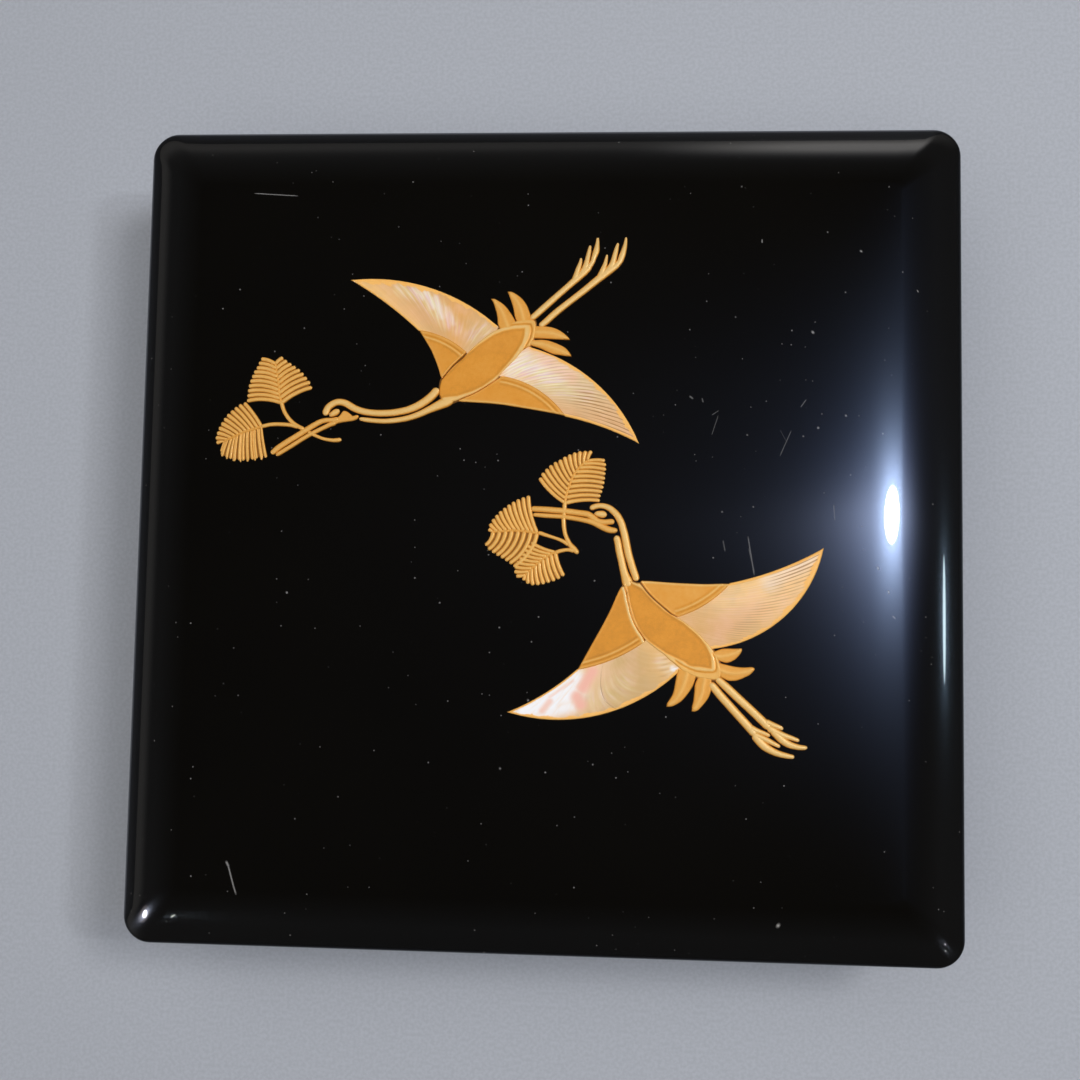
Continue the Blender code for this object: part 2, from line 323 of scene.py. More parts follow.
def make_body(sizes):
    wall_half = sizes.half_side - sizes.lid_wall - SLIDE_GAP
    wall_radius = sizes.corner_radius - sizes.lid_wall - SLIDE_GAP
    inner_half = wall_half - BODY_WALL
    inner_radius = wall_radius - sizes.edge_break
    band_top = sizes.seam - SEAM_GAP
    brk = sizes.edge_break
    stack = RingStack("lacquer_body", sizes.half_side)
    stack.place(sizes.half_side, sizes.corner_radius, band_top / 2)
    stack.extrude(sizes.half_side, sizes.corner_radius, band_top - brk)
    stack.extrude(sizes.half_side - brk * 0.3, sizes.corner_radius - brk * 0.3, band_top - brk * 0.3)
    stack.extrude(sizes.half_side - brk, sizes.corner_radius - brk, band_top)
    stack.extrude(wall_half, wall_radius, band_top)
    stack.extrude(wall_half, wall_radius, BODY_TOP - brk)
    stack.extrude(wall_half - brk, wall_radius - brk, BODY_TOP)
    stack.extrude(inner_half + brk, inner_radius + brk, BODY_TOP)
    stack.extrude(inner_half, inner_radius, BODY_TOP - brk)
    for step in range(FILLET_STEPS + 1):
        angle = math.radians(90) * step / FILLET_STEPS
        inset = BODY_FILLET * (1 - math.cos(angle))
        height = BODY_FLOOR + BODY_FILLET * (1 - math.sin(angle))
        stack.extrude(inner_half - inset, max(sizes.mitre_radius, inner_radius - inset), height)
    stack.cap()
    stack.back_to_first()
    stack.extrude(sizes.half_side, sizes.corner_radius, brk)
    stack.extrude(sizes.half_side - brk, sizes.corner_radius - brk, 0.0)
    stack.cap()
    return stack.finish(SMOOTH_ANGLE)


# ---------------------------------------------------------------- curves

def arc(start, end, bulge, steps=24):
    """Points from start to end along a circular arc that stands bulge to the left of its chord."""
    start, end = np.array(start, float), np.array(end, float)
    chord = end - start
    span = float(np.hypot(*chord))
    if abs(bulge) < 1e-6:
        return [tuple(start + chord * k / steps) for k in range(steps + 1)]
    left = np.array((-chord[1], chord[0])) / span
    radius = (span * span / 4 + bulge * bulge) / (2 * bulge)
    centre = (start + end) / 2 + left * (bulge - radius)
    spread = math.asin(span / 2 / radius)
    arm = start - centre
    points = []
    for k in range(steps + 1):
        turn = -2 * spread * k / steps
        cos, sin = math.cos(turn), math.sin(turn)
        points.append((centre[0] + arm[0] * cos - arm[1] * sin, centre[1] + arm[0] * sin + arm[1] * cos))
    return points


def smooth(points, step=0.25):
    """A smooth curve through rows of numbers, the first two of them a place, in steps of about this length."""
    rows = np.array(points, float)
    gaps = np.hypot(*(np.diff(rows[:, :2], axis=0)).T)
    knots = np.concatenate([[0], np.cumsum(np.maximum(gaps, 1e-6))])
    slopes = np.zeros_like(rows)
    for k in range(len(rows)):
        before, after = max(0, k - 1), min(len(rows) - 1, k + 1)
        slopes[k] = (rows[after] - rows[before]) / (knots[after] - knots[before])
    out = [rows[0]]
    for k in range(len(rows) - 1):
        span = knots[k + 1] - knots[k]
        count = max(1, int(round(span / step)))
        for j in range(1, count + 1):
            t = j / count
            out.append(
                (2 * t**3 - 3 * t**2 + 1) * rows[k] + (t**3 - 2 * t**2 + t) * span * slopes[k]
                + (-2 * t**3 + 3 * t**2) * rows[k + 1] + (t**3 - t**2) * span * slopes[k + 1]
            )
    return np.array(out)


def along(points, share):
    """Rows at these shares of the length of a line of points."""
    rows = np.array(points, float)
    run = np.concatenate([[0], np.cumsum(np.hypot(*(np.diff(rows[:, :2], axis=0)).T))])
    run /= run[-1]
    return np.stack([np.interp(share, run, rows[:, k]) for k in range(rows.shape[1])], axis=-1)


def beside(points, gap):
    """The line of points moved to its left by gap, in millimetres."""
    rows = np.array(points, float)[:, :2]
    way = np.gradient(rows, axis=0)
    way /= np.hypot(*way.T)[:, None]
    return rows + gap * np.stack([-way[:, 1], way[:, 0]], axis=1)


def lengthened(line, reach):
    """The line with one more place, this far beyond its end."""
    rows = np.array(line, float)[:, :2]
    way = rows[-1] - rows[-2]
    return np.vstack([rows, rows[-1] + reach * way / np.hypot(*way)])


def distance(x, y, line):
    """How far each place is from a line of points."""
    line = np.array(line, float)[:, :2]
    nearest = np.full(x.shape, 1e9)
    for a, b in zip(line[:-1], line[1:]):
        d = b - a
        size = max(float(d @ d), 1e-12)
        t = np.clip(((x - a[0]) * d[0] + (y - a[1]) * d[1]) / size, 0, 1)
        nearest = np.minimum(nearest, np.hypot(x - a[0] - t * d[0], y - a[1] - t * d[1]))
    return nearest


def within(x, y, outline):
    """Whether each place lies inside a closed outline."""
    line = np.array(outline, float)[:, :2]
    inside = np.zeros(x.shape, bool)
    for a, b in zip(line, np.roll(line, -1, axis=0)):
        crosses = (a[1] > y) != (b[1] > y)
        inside ^= crosses & (x < (b[0] - a[0]) * (y - a[1]) / (b[1] - a[1] + 1e-12) + a[0])
    return inside


def eased(low, high, value):
    t = np.clip((value - low) / (high - low), 0, 1)
    return t * t * (3 - 2 * t)


def roll(gap, width):
    """A quarter round: 0 at the edge, 1 from width inwards."""
    t = 1 - np.clip(gap / width, 0, 1)
    return np.sqrt(np.maximum(0, 1 - t * t))


# ---------------------------------------------------------------- raised work

def raise_sheet(name, columns, rows, shape):
    """A closed raised piece on the lid. shape takes two arrays from 0 to 1 and gives x, y and the height above
    the lacquer, in millimetres, and a dictionary of further values to keep at each point."""
    bpy.ops.object.select_all(action="DESELECT")
    bpy.ops.mesh.primitive_grid_add(x_subdivisions=columns, y_subdivisions=rows, size=2, location=(0, 0, 0))
    obj = bpy.context.object
    obj.name = name
    mesh = obj.data
    mesh.name = name
    while mesh.uv_layers:
        mesh.uv_layers.remove(mesh.uv_layers[0])
    places = np.empty(len(mesh.vertices) * 3, np.float32)
    mesh.vertices.foreach_get("co", places)
    places = places.reshape(-1, 3)
    u = np.clip((places[:, 0].astype(float) + 1) / 2, 0, 1)
    v = np.clip((places[:, 1].astype(float) + 1) / 2, 0, 1)
    x, y, height, kept = shape(u, v)
    places[:, 0], places[:, 1] = x * MM, y * MM
    places[:, 2] = panel_height(x, y) + height * MM
    mesh.vertices.foreach_set("co", places.reshape(-1))
    kept = dict(kept, raised=height)
    for key, values in kept.items():
        mesh.attributes.new(key, "FLOAT", "POINT").data.foreach_set("value", values.astype(np.float32))
    mesh.update()
    close_below(obj)
    return obj


def close_below(obj):
    """Carries the edge of a sheet down into the lacquer and closes it underneath."""
    only(obj)
    bpy.ops.object.mode_set(mode="EDIT")
    bpy.ops.mesh.select_mode(type="EDGE")
    bpy.ops.mesh.select_all(action="SELECT")
    bpy.ops.mesh.remove_doubles(threshold=MERGE)
    bpy.ops.mesh.select_all(action="DESELECT")
    bpy.ops.mesh.select_non_manifold(
        extend=False, use_wire=False, use_boundary=True,
        use_multi_face=False, use_non_contiguous=False, use_verts=False,
    )
    bpy.ops.mesh.extrude_edges_move(TRANSFORM_OT_translate={"value": (0, 0, -SINK)})
    bpy.ops.mesh.edge_face_add()
    bpy.ops.mesh.select_all(action="SELECT")
    bpy.ops.mesh.normals_make_consistent(inside=False)
    bpy.ops.object.mode_set(mode="OBJECT")
    only(obj)
    bpy.ops.object.shade_smooth()


def spaced(share, strength):
    """Draws even steps closer together at both ends."""
    return (1 - strength) * share + strength * (1 - np.cos(np.pi * share)) / 2


def patch(lower, upper, start, end, u, v):
    """Places on a sheet between four lines: lower and upper run from start to end."""
    lower_at, upper_at = along(lower, u), along(upper, u)
    start_at, end_at = along(start, v), along(end, v)
    corners = [np.array(p[k], float)[:2] for p, k in ((lower, 0), (lower, -1), (upper, 0), (upper, -1))]
    u, v = u[:, None], v[:, None]
    across = (1 - v) * lower_at[:, :2] + v * upper_at[:, :2]
    lengthways = (1 - u) * start_at[:, :2] + u * end_at[:, :2]
    both = (1 - u) * (1 - v) * corners[0] + u * (1 - v) * corners[1] + (1 - u) * v * corners[2] + u * v * corners[3]
    return (across + lengthways - both).T


def strand(name, path, height=0.55, step=0.4, rows=10, ends=(1.0, 1.0), crest=0.78, foot=0.16):
    """A rounded raised line. path gives x, y and half width; ends says how round each end is, as a share of the width.
    crest and foot are the tone of its top and of its edges."""
    line = smooth(path, 0.3)
    run = np.concatenate([[0], np.cumsum(np.hypot(*(np.diff(line[:, :2], axis=0)).T))])
    total = run[-1]
    columns = max(6, int(total / step)) + 6

    def shape(u, v):
        u = spaced(u, 0.55)
        at = along(line, u)
        way_x, way_y = np.gradient(line[:, 0], run), np.gradient(line[:, 1], run)
        size = np.hypot(way_x, way_y)
        nx = np.interp(u * total, run, -way_y / size)
        ny = np.interp(u * total, run, way_x / size)
        half = at[:, 2].copy()
        for gone, share in ((u * total, ends[0]), ((1 - u) * total, ends[1])):
            reach = np.maximum(half * share, 1e-3)
            half *= np.maximum(0.04, roll(gone, reach))
        w = -np.cos(np.pi * v)
        arch = np.sqrt(np.maximum(0, 1 - w * w))
        lift = np.minimum(height, half * 0.85) * (0.03 + 0.97 * arch)
        # Painted highlight and shade: the top of the strand is paler and its edges darker.
        tone = foot + (crest - foot) * eased(0.15, 0.95, arch)
        return at[:, 0] + nx * half * w, at[:, 1] + ny * half * w, lift, {"tone": tone}

    return raise_sheet(name, columns, rows, shape)


def plate(name, lower, upper, start, end, columns, rows, height=0.5, edge=0.35, sunk=None, grooves=(), ridges=(),
          open_sides=(), even=0.35, flat=0.5, rim_tone=0.85, shade_edge=True):
    """A flat raised sheet between four lines, with rounded edges. sunk is an outline whose inside lies lower; grooves and
    ridges are (line, depth, half width, tone). open_sides lists the sides whose edge isn't rounded: 0 lower, 1 upper,
    2 start, 3 end. flat is the tone of its flat part and rim_tone that of the rim round the sunk part."""
    sides = (lower, upper, start, end)

    def shape(u, v):
        x, y = patch(lower, upper, start, end, spaced(u, even), spaced(v, even))
        gap = np.full(x.shape, 1e9)
        for number, side in enumerate(sides):
            if number not in open_sides:
                gap = np.minimum(gap, distance(x, y, side))
        lift = height * (0.04 + 0.96 * roll(gap, edge))
        tone = np.full(x.shape, float(flat))
        if sunk is not None:
            line = [*sunk, sunk[0]]
            out = np.where(within(x, y, sunk), -1, 1) * distance(x, y, line)
            lift = lift - SUNK_DEPTH * (1 - eased(-0.25, 0.35, out))
            # Painted highlight: the rim round the sunk part is paler.
            tone = tone + (rim_tone - flat) * eased(-0.2, 0.4, out) * (1 - 0.35 * eased(0.9, 1.8, out))
            tone = tone - 0.07 * np.exp(-(((out + 0.3) / 0.35) ** 2))
        for line, depth, half, dark in grooves:
            near = np.exp(-((distance(x, y, line) / half) ** 2))
            lift = lift - depth * near * eased(0.0, edge, gap)
            tone = tone - dark * near
        # Painted highlight: each ridge is paler along its line.
        for line, rise, half, pale in ridges:
            near = np.exp(-((distance(x, y, line) / half) ** 2))
            lift = lift + rise * near * roll(gap, edge)
            tone = tone + (np.maximum(pale, tone) - tone) * near
        if shade_edge:
            tone = tone - 0.2 * (1 - eased(0.0, 0.22, gap))
        return x, y, np.maximum(lift, 0.02), {"tone": np.clip(tone, 0, 1)}

    return raise_sheet(name, columns, rows, shape)


def joined(name, pieces):
    bpy.ops.object.select_all(action="DESELECT")
    for piece in pieces:
        piece.select_set(True)
    bpy.context.view_layer.objects.active = pieces[0]
    if len(pieces) > 1:
        bpy.ops.object.join()
    pieces[0].name = name
    pieces[0].data.name = name
    return pieces[0]


# ---------------------------------------------------------------- the picture, in millimetres from the middle of the lid

# Each wing: the outer arc from the tip to the body, the leading edge from the tip to the band, and the band from the
# leading edge to the body (start, end, bulge). Then the gold panel's leading edge and body side, the shell's side under
# the body, and how its feather lines lean: above 0 towards the tip.
# lead_tone and seam_ridge are the paler tones of the ridges along each gold panel's leading edge and body seam: painted
# highlights.
WINGS = {
    "upper_crane_left": {
        "panel_tone": 0.52, "lead_tone": 0.6,
        "outer": ((-55.85, 71.74), (-13.66, 58.78), 4.6),
        "lead": ((-55.85, 71.74), (-35.76, 56.88), 0.7),
        "band": ((-35.76, 56.88), (-22.0, 50.55), 1.2),
        "band_side": -1, "seam_ridge": 0.7, "body_ridge": 0.24, "band_reach": 1.1,
        "panel_lead": ((-35.76, 56.88), (-32.24, 51.35), (-30.94, 48.64), (-29.93, 46.13), (-29.13, 43.62)),
        "panel_body": (
            (-21.82, 50.17), (-22.73, 49.26), (-24.24, 47.9), (-25.73, 46.55), (-27.23, 44.86), (-28.74, 43.06),
        ),
        "body_side": ((-21.64, 49.16), (-18.8, 51.29), (-15.81, 53.78), (-12.76, 55.82), (-11.58, 57.31)),
        "skew": 0.0,
    },
    "upper_crane_right": {
        "panel_tone": 0.52, "lead_tone": 0.76,
        "outer": ((27.42, 24.94), (-3.31, 52.16), -4.7),
        "lead": ((27.42, 24.94), (6.43, 32.47), -0.8),
        "band": ((6.43, 32.47), (-11.65, 43.72), -2.2),
        "band_side": 1, "seam_ridge": 0.62, "body_ridge": 0.24, "band_reach": 1.1,
        "panel_lead": ((6.43, 32.47), (1.31, 33.47), (-5.12, 34.58), (-12.96, 35.78), (-23.6, 36.49)),
        "panel_body": (
            (-12.49, 43.22), (-13.7, 42.36), (-15.41, 41.17), (-17.21, 40.01), (-19.6, 38.68), (-22.6, 37.42),
            (-23.91, 36.87),
        ),
        "body_side": ((-13.24, 44.67), (-11.2, 47.42), (-8.88, 50.07), (-7.47, 51.76), (-5.07, 53.54)),
        "skew": 0.2,
    },
    "lower_crane_right": {
        "panel_tone": 0.56, "lead_tone": 0.82,
        "rubs": (((39.1, -15.2), (39.5, -17.3)), ((41.0, -15.4), (41.2, -17.4)), ((43.3, -15.9), (43.4, -17.0))),
        "outer": ((78.85, -3.69), (48.51, -32.12), 6.7),
        "lead": ((78.85, -3.69), (52.93, -13.84), 1.1),
        "band": ((52.93, -13.84), (38.67, -23.28), 1.2),
        "band_side": -1, "seam_ridge": 0.62, "body_ridge": 0.24, "band_reach": 1.1,
        "panel_lead": (
            (52.93, -13.84), (50.32, -13.84), (46.3, -14.04), (41.18, -13.99), (36.06, -13.84), (31.04, -13.58),
            (28.53, -13.53),
        ),
        "panel_body": (
            (38.45, -23.35), (36.72, -22.43), (35.2, -21.21), (33.69, -19.95), (31.87, -18.34), (30.34, -16.71),
            (29.03, -15.04), (28.26, -13.88),
        ),
        "body_side": ((37.6, -24.35), (39.3, -25.66), (42.76, -28.32), (45.2, -30.86), (46.89, -32.75)),
        "skew": 0.7,
    },
    "lower_crane_left": {
        "panel_tone": 0.46, "lead_tone": 0.56,
        "outer": ((-8.34, -50.7), (39.47, -38.34), -6.7),
        "lead": ((-8.34, -50.7), (10.95, -38.44), -1.0),
        "band": ((10.95, -38.44), (28.43, -31.11), -1.0),
        "band_side": 1, "seam_ridge": 1.0, "body_ridge": 0.42, "band_reach": 2.5,
        "panel_lead": (
            (10.95, -38.44), (14.66, -31.61), (17.98, -25.59), (20.09, -21.37), (21.19, -18.76), (22.4, -16.15),
            (23.0, -15.24),
        ),
        "panel_body": (
            (29.44, -30.09), (28.81, -28.63), (27.98, -27.49), (27.0, -25.92), (26.33, -24.57), (25.59, -22.51),
            (25.1, -20.53), (24.65, -18.55), (24.34, -16.82), (23.82, -15.18),
        ),
        "body_side": ((29.96, -29.44), (32.93, -31.08), (35.72, -33.04), (38.37, -35.18), (40.39, -36.9)),
        "skew": -0.41,
    },
}

BODIES = {
    "upper_crane_body": {
        "tone": 0.5,
        "upper": (
            (-28.93, 42.61), (-27.22, 44.72), (-25.71, 46.43), (-24.21, 47.79), (-22.7, 49.14), (-21.8, 50.25),
            (-19.79, 52.46), (-16.77, 55.07), (-14.16, 56.88), (-11.35, 58.08), (-9.89, 58.68), (-8.44, 59.59),
            (-6.58, 60.04), (-3.21, 60.19), (-2.41, 59.79),
        ),
        "lower": (
            (-26.82, 35.88), (-24.01, 36.89), (-22.5, 37.59), (-19.49, 38.85), (-17.07, 40.25), (-15.32, 41.36),
            (-13.56, 42.56), (-12.76, 43.32), (-12.05, 44.27), (-9.99, 46.53), (-7.58, 49.04), (-6.43, 50.55),
            (-5.22, 51.75), (-3.72, 52.51),
        ),
        "neck_end": ((-26.82, 35.88), (-28.73, 37.19), (-29.43, 38.9), (-29.33, 40.91), (-28.93, 42.61)),
        "tail_end": ((-3.72, 52.51), (-3.11, 53.76), (-2.56, 54.97), (-2.21, 56.98), (-2.16, 58.78), (-2.41, 59.79)),
        "panel": (
            (-29.73, 43.82), (-27.42, 44.22), (-24.21, 47.53), (-21.8, 49.84), (-18.68, 52.56), (-14.16, 55.67),
            (-11.35, 56.78), (-8.64, 57.38), (-5.42, 57.58), (-5.52, 55.57), (-6.13, 53.46), (-7.33, 51.35),
            (-8.54, 49.54), (-9.74, 47.94), (-11.25, 46.13), (-12.76, 44.32), (-14.16, 43.12), (-17.07, 41.01),
            (-20.19, 39.5), (-24.21, 38.19), (-27.72, 37.79), (-32.24, 36.29),
        ),
        "groove": (
            (-11.55, 58.08), (-10.35, 58.23), (-8.44, 58.68), (-5.42, 58.88), (-3.72, 58.83), (-3.36, 57.78),
            (-3.36, 56.68), (-3.82, 54.77), (-4.72, 53.06), (-5.42, 51.65),
        ),
    },
    "lower_crane_body": {
        # Painted shade: this body's tone is a little lower than the upper one's, to darken it where more light falls.
        "tone": 0.475,
        "upper": (
            (28.02, -14.14), (28.93, -15.24), (30.18, -16.85), (31.74, -18.46), (33.55, -20.06), (35.05, -21.32),
            (36.56, -22.52), (38.47, -23.48), (40.23, -24.48), (42.29, -25.94), (43.79, -27.19), (45.3, -28.65),
            (46.3, -29.86), (47.61, -31.11), (48.61, -32.62), (49.37, -33.82), (50.12, -35.33), (50.62, -37.14),
            (50.82, -38.64), (50.52, -39.95),
        ),
        "lower": (
            (23.3, -13.33), (23.6, -14.94), (24.01, -15.94), (24.41, -16.95), (24.66, -18.66), (25.11, -20.67),
            (25.61, -22.67), (26.37, -24.68), (27.12, -26.19), (28.12, -27.7), (28.93, -28.8), (29.63, -29.81),
            (30.74, -30.91), (32.04, -31.91), (33.3, -32.89), (34.8, -33.87), (36.36, -35.33), (37.36, -36.08),
            (38.62, -37.09), (39.47, -37.84), (40.08, -38.34), (41.38, -38.95), (42.69, -39.55), (43.89, -40.05),
            (46.4, -40.45), (48.41, -40.7), (49.52, -40.7),
        ),
        "neck_end": ((23.3, -13.33), (24.61, -13.03), (26.22, -13.84), (27.42, -14.24), (28.02, -14.14)),
        "tail_end": ((49.52, -40.7), (50.12, -40.5), (50.52, -39.95)),
        "panel": (
            (22.5, -11.93), (26.01, -14.54), (28.63, -15.84), (31.64, -19.06), (35.05, -21.97), (38.37, -24.08),
            (40.23, -25.19), (41.98, -26.69), (43.49, -27.9), (45.0, -29.4), (46.3, -31.11), (47.11, -32.62),
            (47.76, -34.12), (48.01, -35.93), (48.01, -37.44), (46.91, -37.34), (45.1, -37.04), (42.89, -36.94),
            (41.68, -36.64), (40.38, -35.63), (38.37, -34.73), (36.86, -34.02), (35.36, -33.32), (33.85, -32.32),
            (31.04, -30.41), (29.43, -28.8), (28.02, -26.79), (26.52, -23.78), (25.51, -20.26), (24.91, -17.15),
            (24.01, -13.94),
        ),
        "groove": (
            (48.41, -33.42), (48.81, -34.22), (49.27, -35.88), (49.42, -37.24), (49.22, -38.14), (48.41, -38.54),
            (46.4, -38.54), (43.89, -38.29), (42.14, -37.74), (40.63, -37.04), (39.27, -36.23), (38.27, -35.53),
        ),
    },
}

# Tail feathers: one side from the body to the tip, the other side likewise
TAILS = {
    "upper_crane": (
        (
            (
                (-12.2, 56.91), (-13.11, 58.88), (-13.26, 60.49), (-13.56, 62.0), (-13.96, 63.4), (-14.51, 65.01),
                (-15.27, 66.27),
            ),
            (
                (-7.86, 59.1), (-8.39, 60.39), (-8.94, 61.3), (-9.64, 62.35), (-10.55, 63.61), (-11.65, 64.71),
                (-12.96, 65.61), (-14.16, 66.22), (-15.27, 66.27),
            ),
        ),
        (
            (
                (-7.74, 59.49), (-8.29, 60.99), (-8.59, 62.4), (-8.89, 63.81), (-9.34, 65.26), (-9.91, 66.72),
                (-10.55, 68.38),
            ),
            (
                (-3.3, 59.67), (-3.82, 61.65), (-4.32, 63.1), (-4.87, 64.36), (-5.78, 65.71), (-6.88, 66.82),
                (-8.14, 67.72), (-9.41, 68.33), (-10.55, 68.38),
            ),
        ),
        (
            ((-3.06, 54.79), (-0.05, 54.72), (1.71, 54.62), (3.52, 54.52), (5.83, 54.42), (7.58, 54.36)),
            (
                (-2.66, 58.38), (-0.3, 58.38), (1.83, 58.15), (3.62, 57.63), (5.07, 56.83), (6.33, 55.87),
                (7.23, 54.97), (7.58, 54.36),
            ),
        ),
        (
            ((-3.83, 52.81), (-0.9, 51.9), (0.88, 51.1), (2.71, 50.3), (4.67, 50.0), (6.28, 49.74), (8.04, 49.59)),
            (
                (-3.26, 54.31), (-0.6, 54.47), (1.19, 54.26), (3.11, 53.66), (4.77, 52.96), (6.23, 52.16),
                (7.28, 51.05), (7.88, 50.15), (8.04, 49.59),
            ),
        ),
    ),
    "lower_crane": (
        (
            ((48.33, -33.05), (49.82, -32.42), (51.02, -32.02), (52.63, -31.91), (54.54, -31.91), (56.4, -31.81)),
            (
                (49.8, -35.31), (52.13, -35.93), (53.28, -35.68), (54.44, -35.08), (55.39, -34.22), (56.15, -33.22),
                (56.5, -32.42), (56.4, -31.81),
            ),
        ),
        (
            (
                (49.89, -35.85), (52.08, -36.33), (53.84, -36.74), (55.85, -36.99), (57.6, -37.01), (59.16, -36.89),
                (59.91, -37.14),
            ),
            (
                (50.44, -39.81), (52.73, -40.8), (54.34, -40.85), (55.7, -40.55), (57.25, -39.85), (58.61, -39.15),
                (59.56, -38.24), (60.01, -37.54), (59.91, -37.14),
            ),
        ),
        (
            (
                (38.85, -37.9), (38.07, -42.06), (37.82, -43.62), (37.36, -45.02), (36.66, -46.23), (35.96, -47.38),
                (35.86, -48.29),
            ),
            (
                (44.35, -38.4), (43.39, -41.71), (42.84, -42.91), (42.09, -44.12), (41.08, -45.47), (39.92, -46.73),
                (38.57, -47.63), (37.21, -48.24), (35.86, -48.29),
            ),
        ),
        (
            (
                (44.7, -39.4), (43.59, -41.96), (43.49, -43.52), (43.34, -45.07), (43.19, -46.68), (42.84, -48.04),
                (42.79, -49.44),
            ),
            (
                (48.1, -39.6), (48.26, -42.46), (48.01, -43.87), (47.66, -45.02), (47.01, -46.23), (46.2, -47.28),
                (45.25, -48.39), (44.5, -49.14), (43.49, -49.49), (42.79, -49.44),
            ),
        ),
    ),
}

# Rounded lines: x, y and half width along each
LEGS = {
    "upper_crane": (
        (
            (-3.8, 60.3, 0.86), (-2.41, 61.5, 0.97), (0.2, 63.91, 1.01), (3.62, 67.07, 0.97), (6.83, 69.98, 0.97),
            (9.24, 72.24, 1.1), (11.25, 74.15, 1.16), (13.16, 75.96, 0.86),
        ),
        (
            (12.25, 75.16, 0.97), (13.46, 76.86, 0.73), (14.06, 78.67, 0.82), (14.56, 80.18, 0.95),
            (14.82, 81.79, 0.73), (14.97, 84.3, 0.34),
        ),
        (
            (10.55, 73.45, 1.1), (11.35, 74.86, 1.04), (11.85, 76.46, 0.88), (12.25, 78.47, 0.73),
            (12.61, 80.33, 0.61), (12.86, 81.99, 0.34),
        ),
        ((8.44, 71.44, 0.97), (8.94, 72.95, 0.88), (9.54, 74.96, 0.8), (10.04, 76.56, 0.61), (10.35, 78.27, 0.34)),
        (
            (-1.21, 58.22, 0.86), (0.5, 59.59, 0.97), (3.31, 62.2, 1.01), (7.33, 65.51, 0.97), (11.35, 68.73, 1.01),
            (14.97, 71.79, 1.1), (17.78, 74.15, 1.22), (19.99, 75.76, 1.04), (21.29, 76.56, 0.73),
        ),
        (
            (19.59, 75.46, 1.1), (21.19, 76.96, 0.86), (21.8, 78.47, 0.95), (22.4, 80.38, 0.82), (22.8, 82.19, 0.61),
            (23.05, 84.4, 0.31),
        ),
        (
            (17.38, 73.75, 1.22), (18.68, 75.26, 1.1), (19.39, 76.86, 0.92), (19.89, 78.97, 0.78),
            (20.34, 80.98, 0.63), (20.79, 82.69, 0.32),
        ),
        (
            (14.97, 71.44, 1.1), (15.77, 72.85, 0.97), (16.42, 74.35, 0.88), (17.08, 76.16, 0.71),
            (17.43, 77.67, 0.51), (17.68, 79.27, 0.31),
        ),
    ),
    "lower_crane": (
        (
            (47.72, -41.48, 1.04), (49.02, -42.96, 1.16), (50.52, -44.77, 1.2), (52.83, -47.28, 1.2),
            (54.94, -49.59, 1.2), (57.1, -51.9, 1.22), (58.86, -53.81, 1.22), (60.37, -55.62, 1.16),
        ),
        (
            (58.56, -53.31, 1.04), (59.86, -54.01, 0.92), (61.37, -54.56, 0.73), (63.08, -55.17, 0.63),
            (64.33, -55.72, 0.51),
        ),
        (
            (59.76, -55.12, 1.1), (60.87, -55.72, 0.97), (62.68, -56.47, 0.86), (64.79, -57.48, 0.73),
            (67.1, -58.63, 0.51),
        ),
        (
            (59.76, -55.12, 1.16), (60.97, -56.72, 1.22), (62.68, -58.43, 1.22), (64.58, -59.64, 1.07),
            (66.69, -60.49, 0.93), (68.8, -60.99, 0.8), (71.01, -61.34, 0.56),
        ),
        (
            (49.44, -40.06, 0.97), (50.92, -41.36, 1.12), (52.83, -43.06, 1.2), (55.44, -45.47, 1.2),
            (58.36, -48.09, 1.2), (60.97, -50.5, 1.2), (63.08, -52.51, 1.2), (64.18, -53.71, 1.1),
        ),
        (
            (62.68, -51.7, 0.97), (64.08, -52.3, 0.92), (65.59, -52.86, 0.8), (66.89, -53.31, 0.68),
            (67.9, -53.81, 0.51),
        ),
        (
            (63.58, -53.31, 1.16), (64.79, -54.01, 1.1), (66.49, -54.87, 0.97), (68.7, -55.67, 0.8),
            (70.61, -56.27, 0.68), (72.32, -56.87, 0.51),
        ),
        (
            (64.79, -54.01, 1.1), (66.19, -55.42, 1.12), (67.6, -56.72, 1.12), (69.41, -57.83, 1.03),
            (71.51, -58.48, 0.86), (73.22, -58.68, 0.71), (74.53, -58.68, 0.51),
        ),
    ),
}

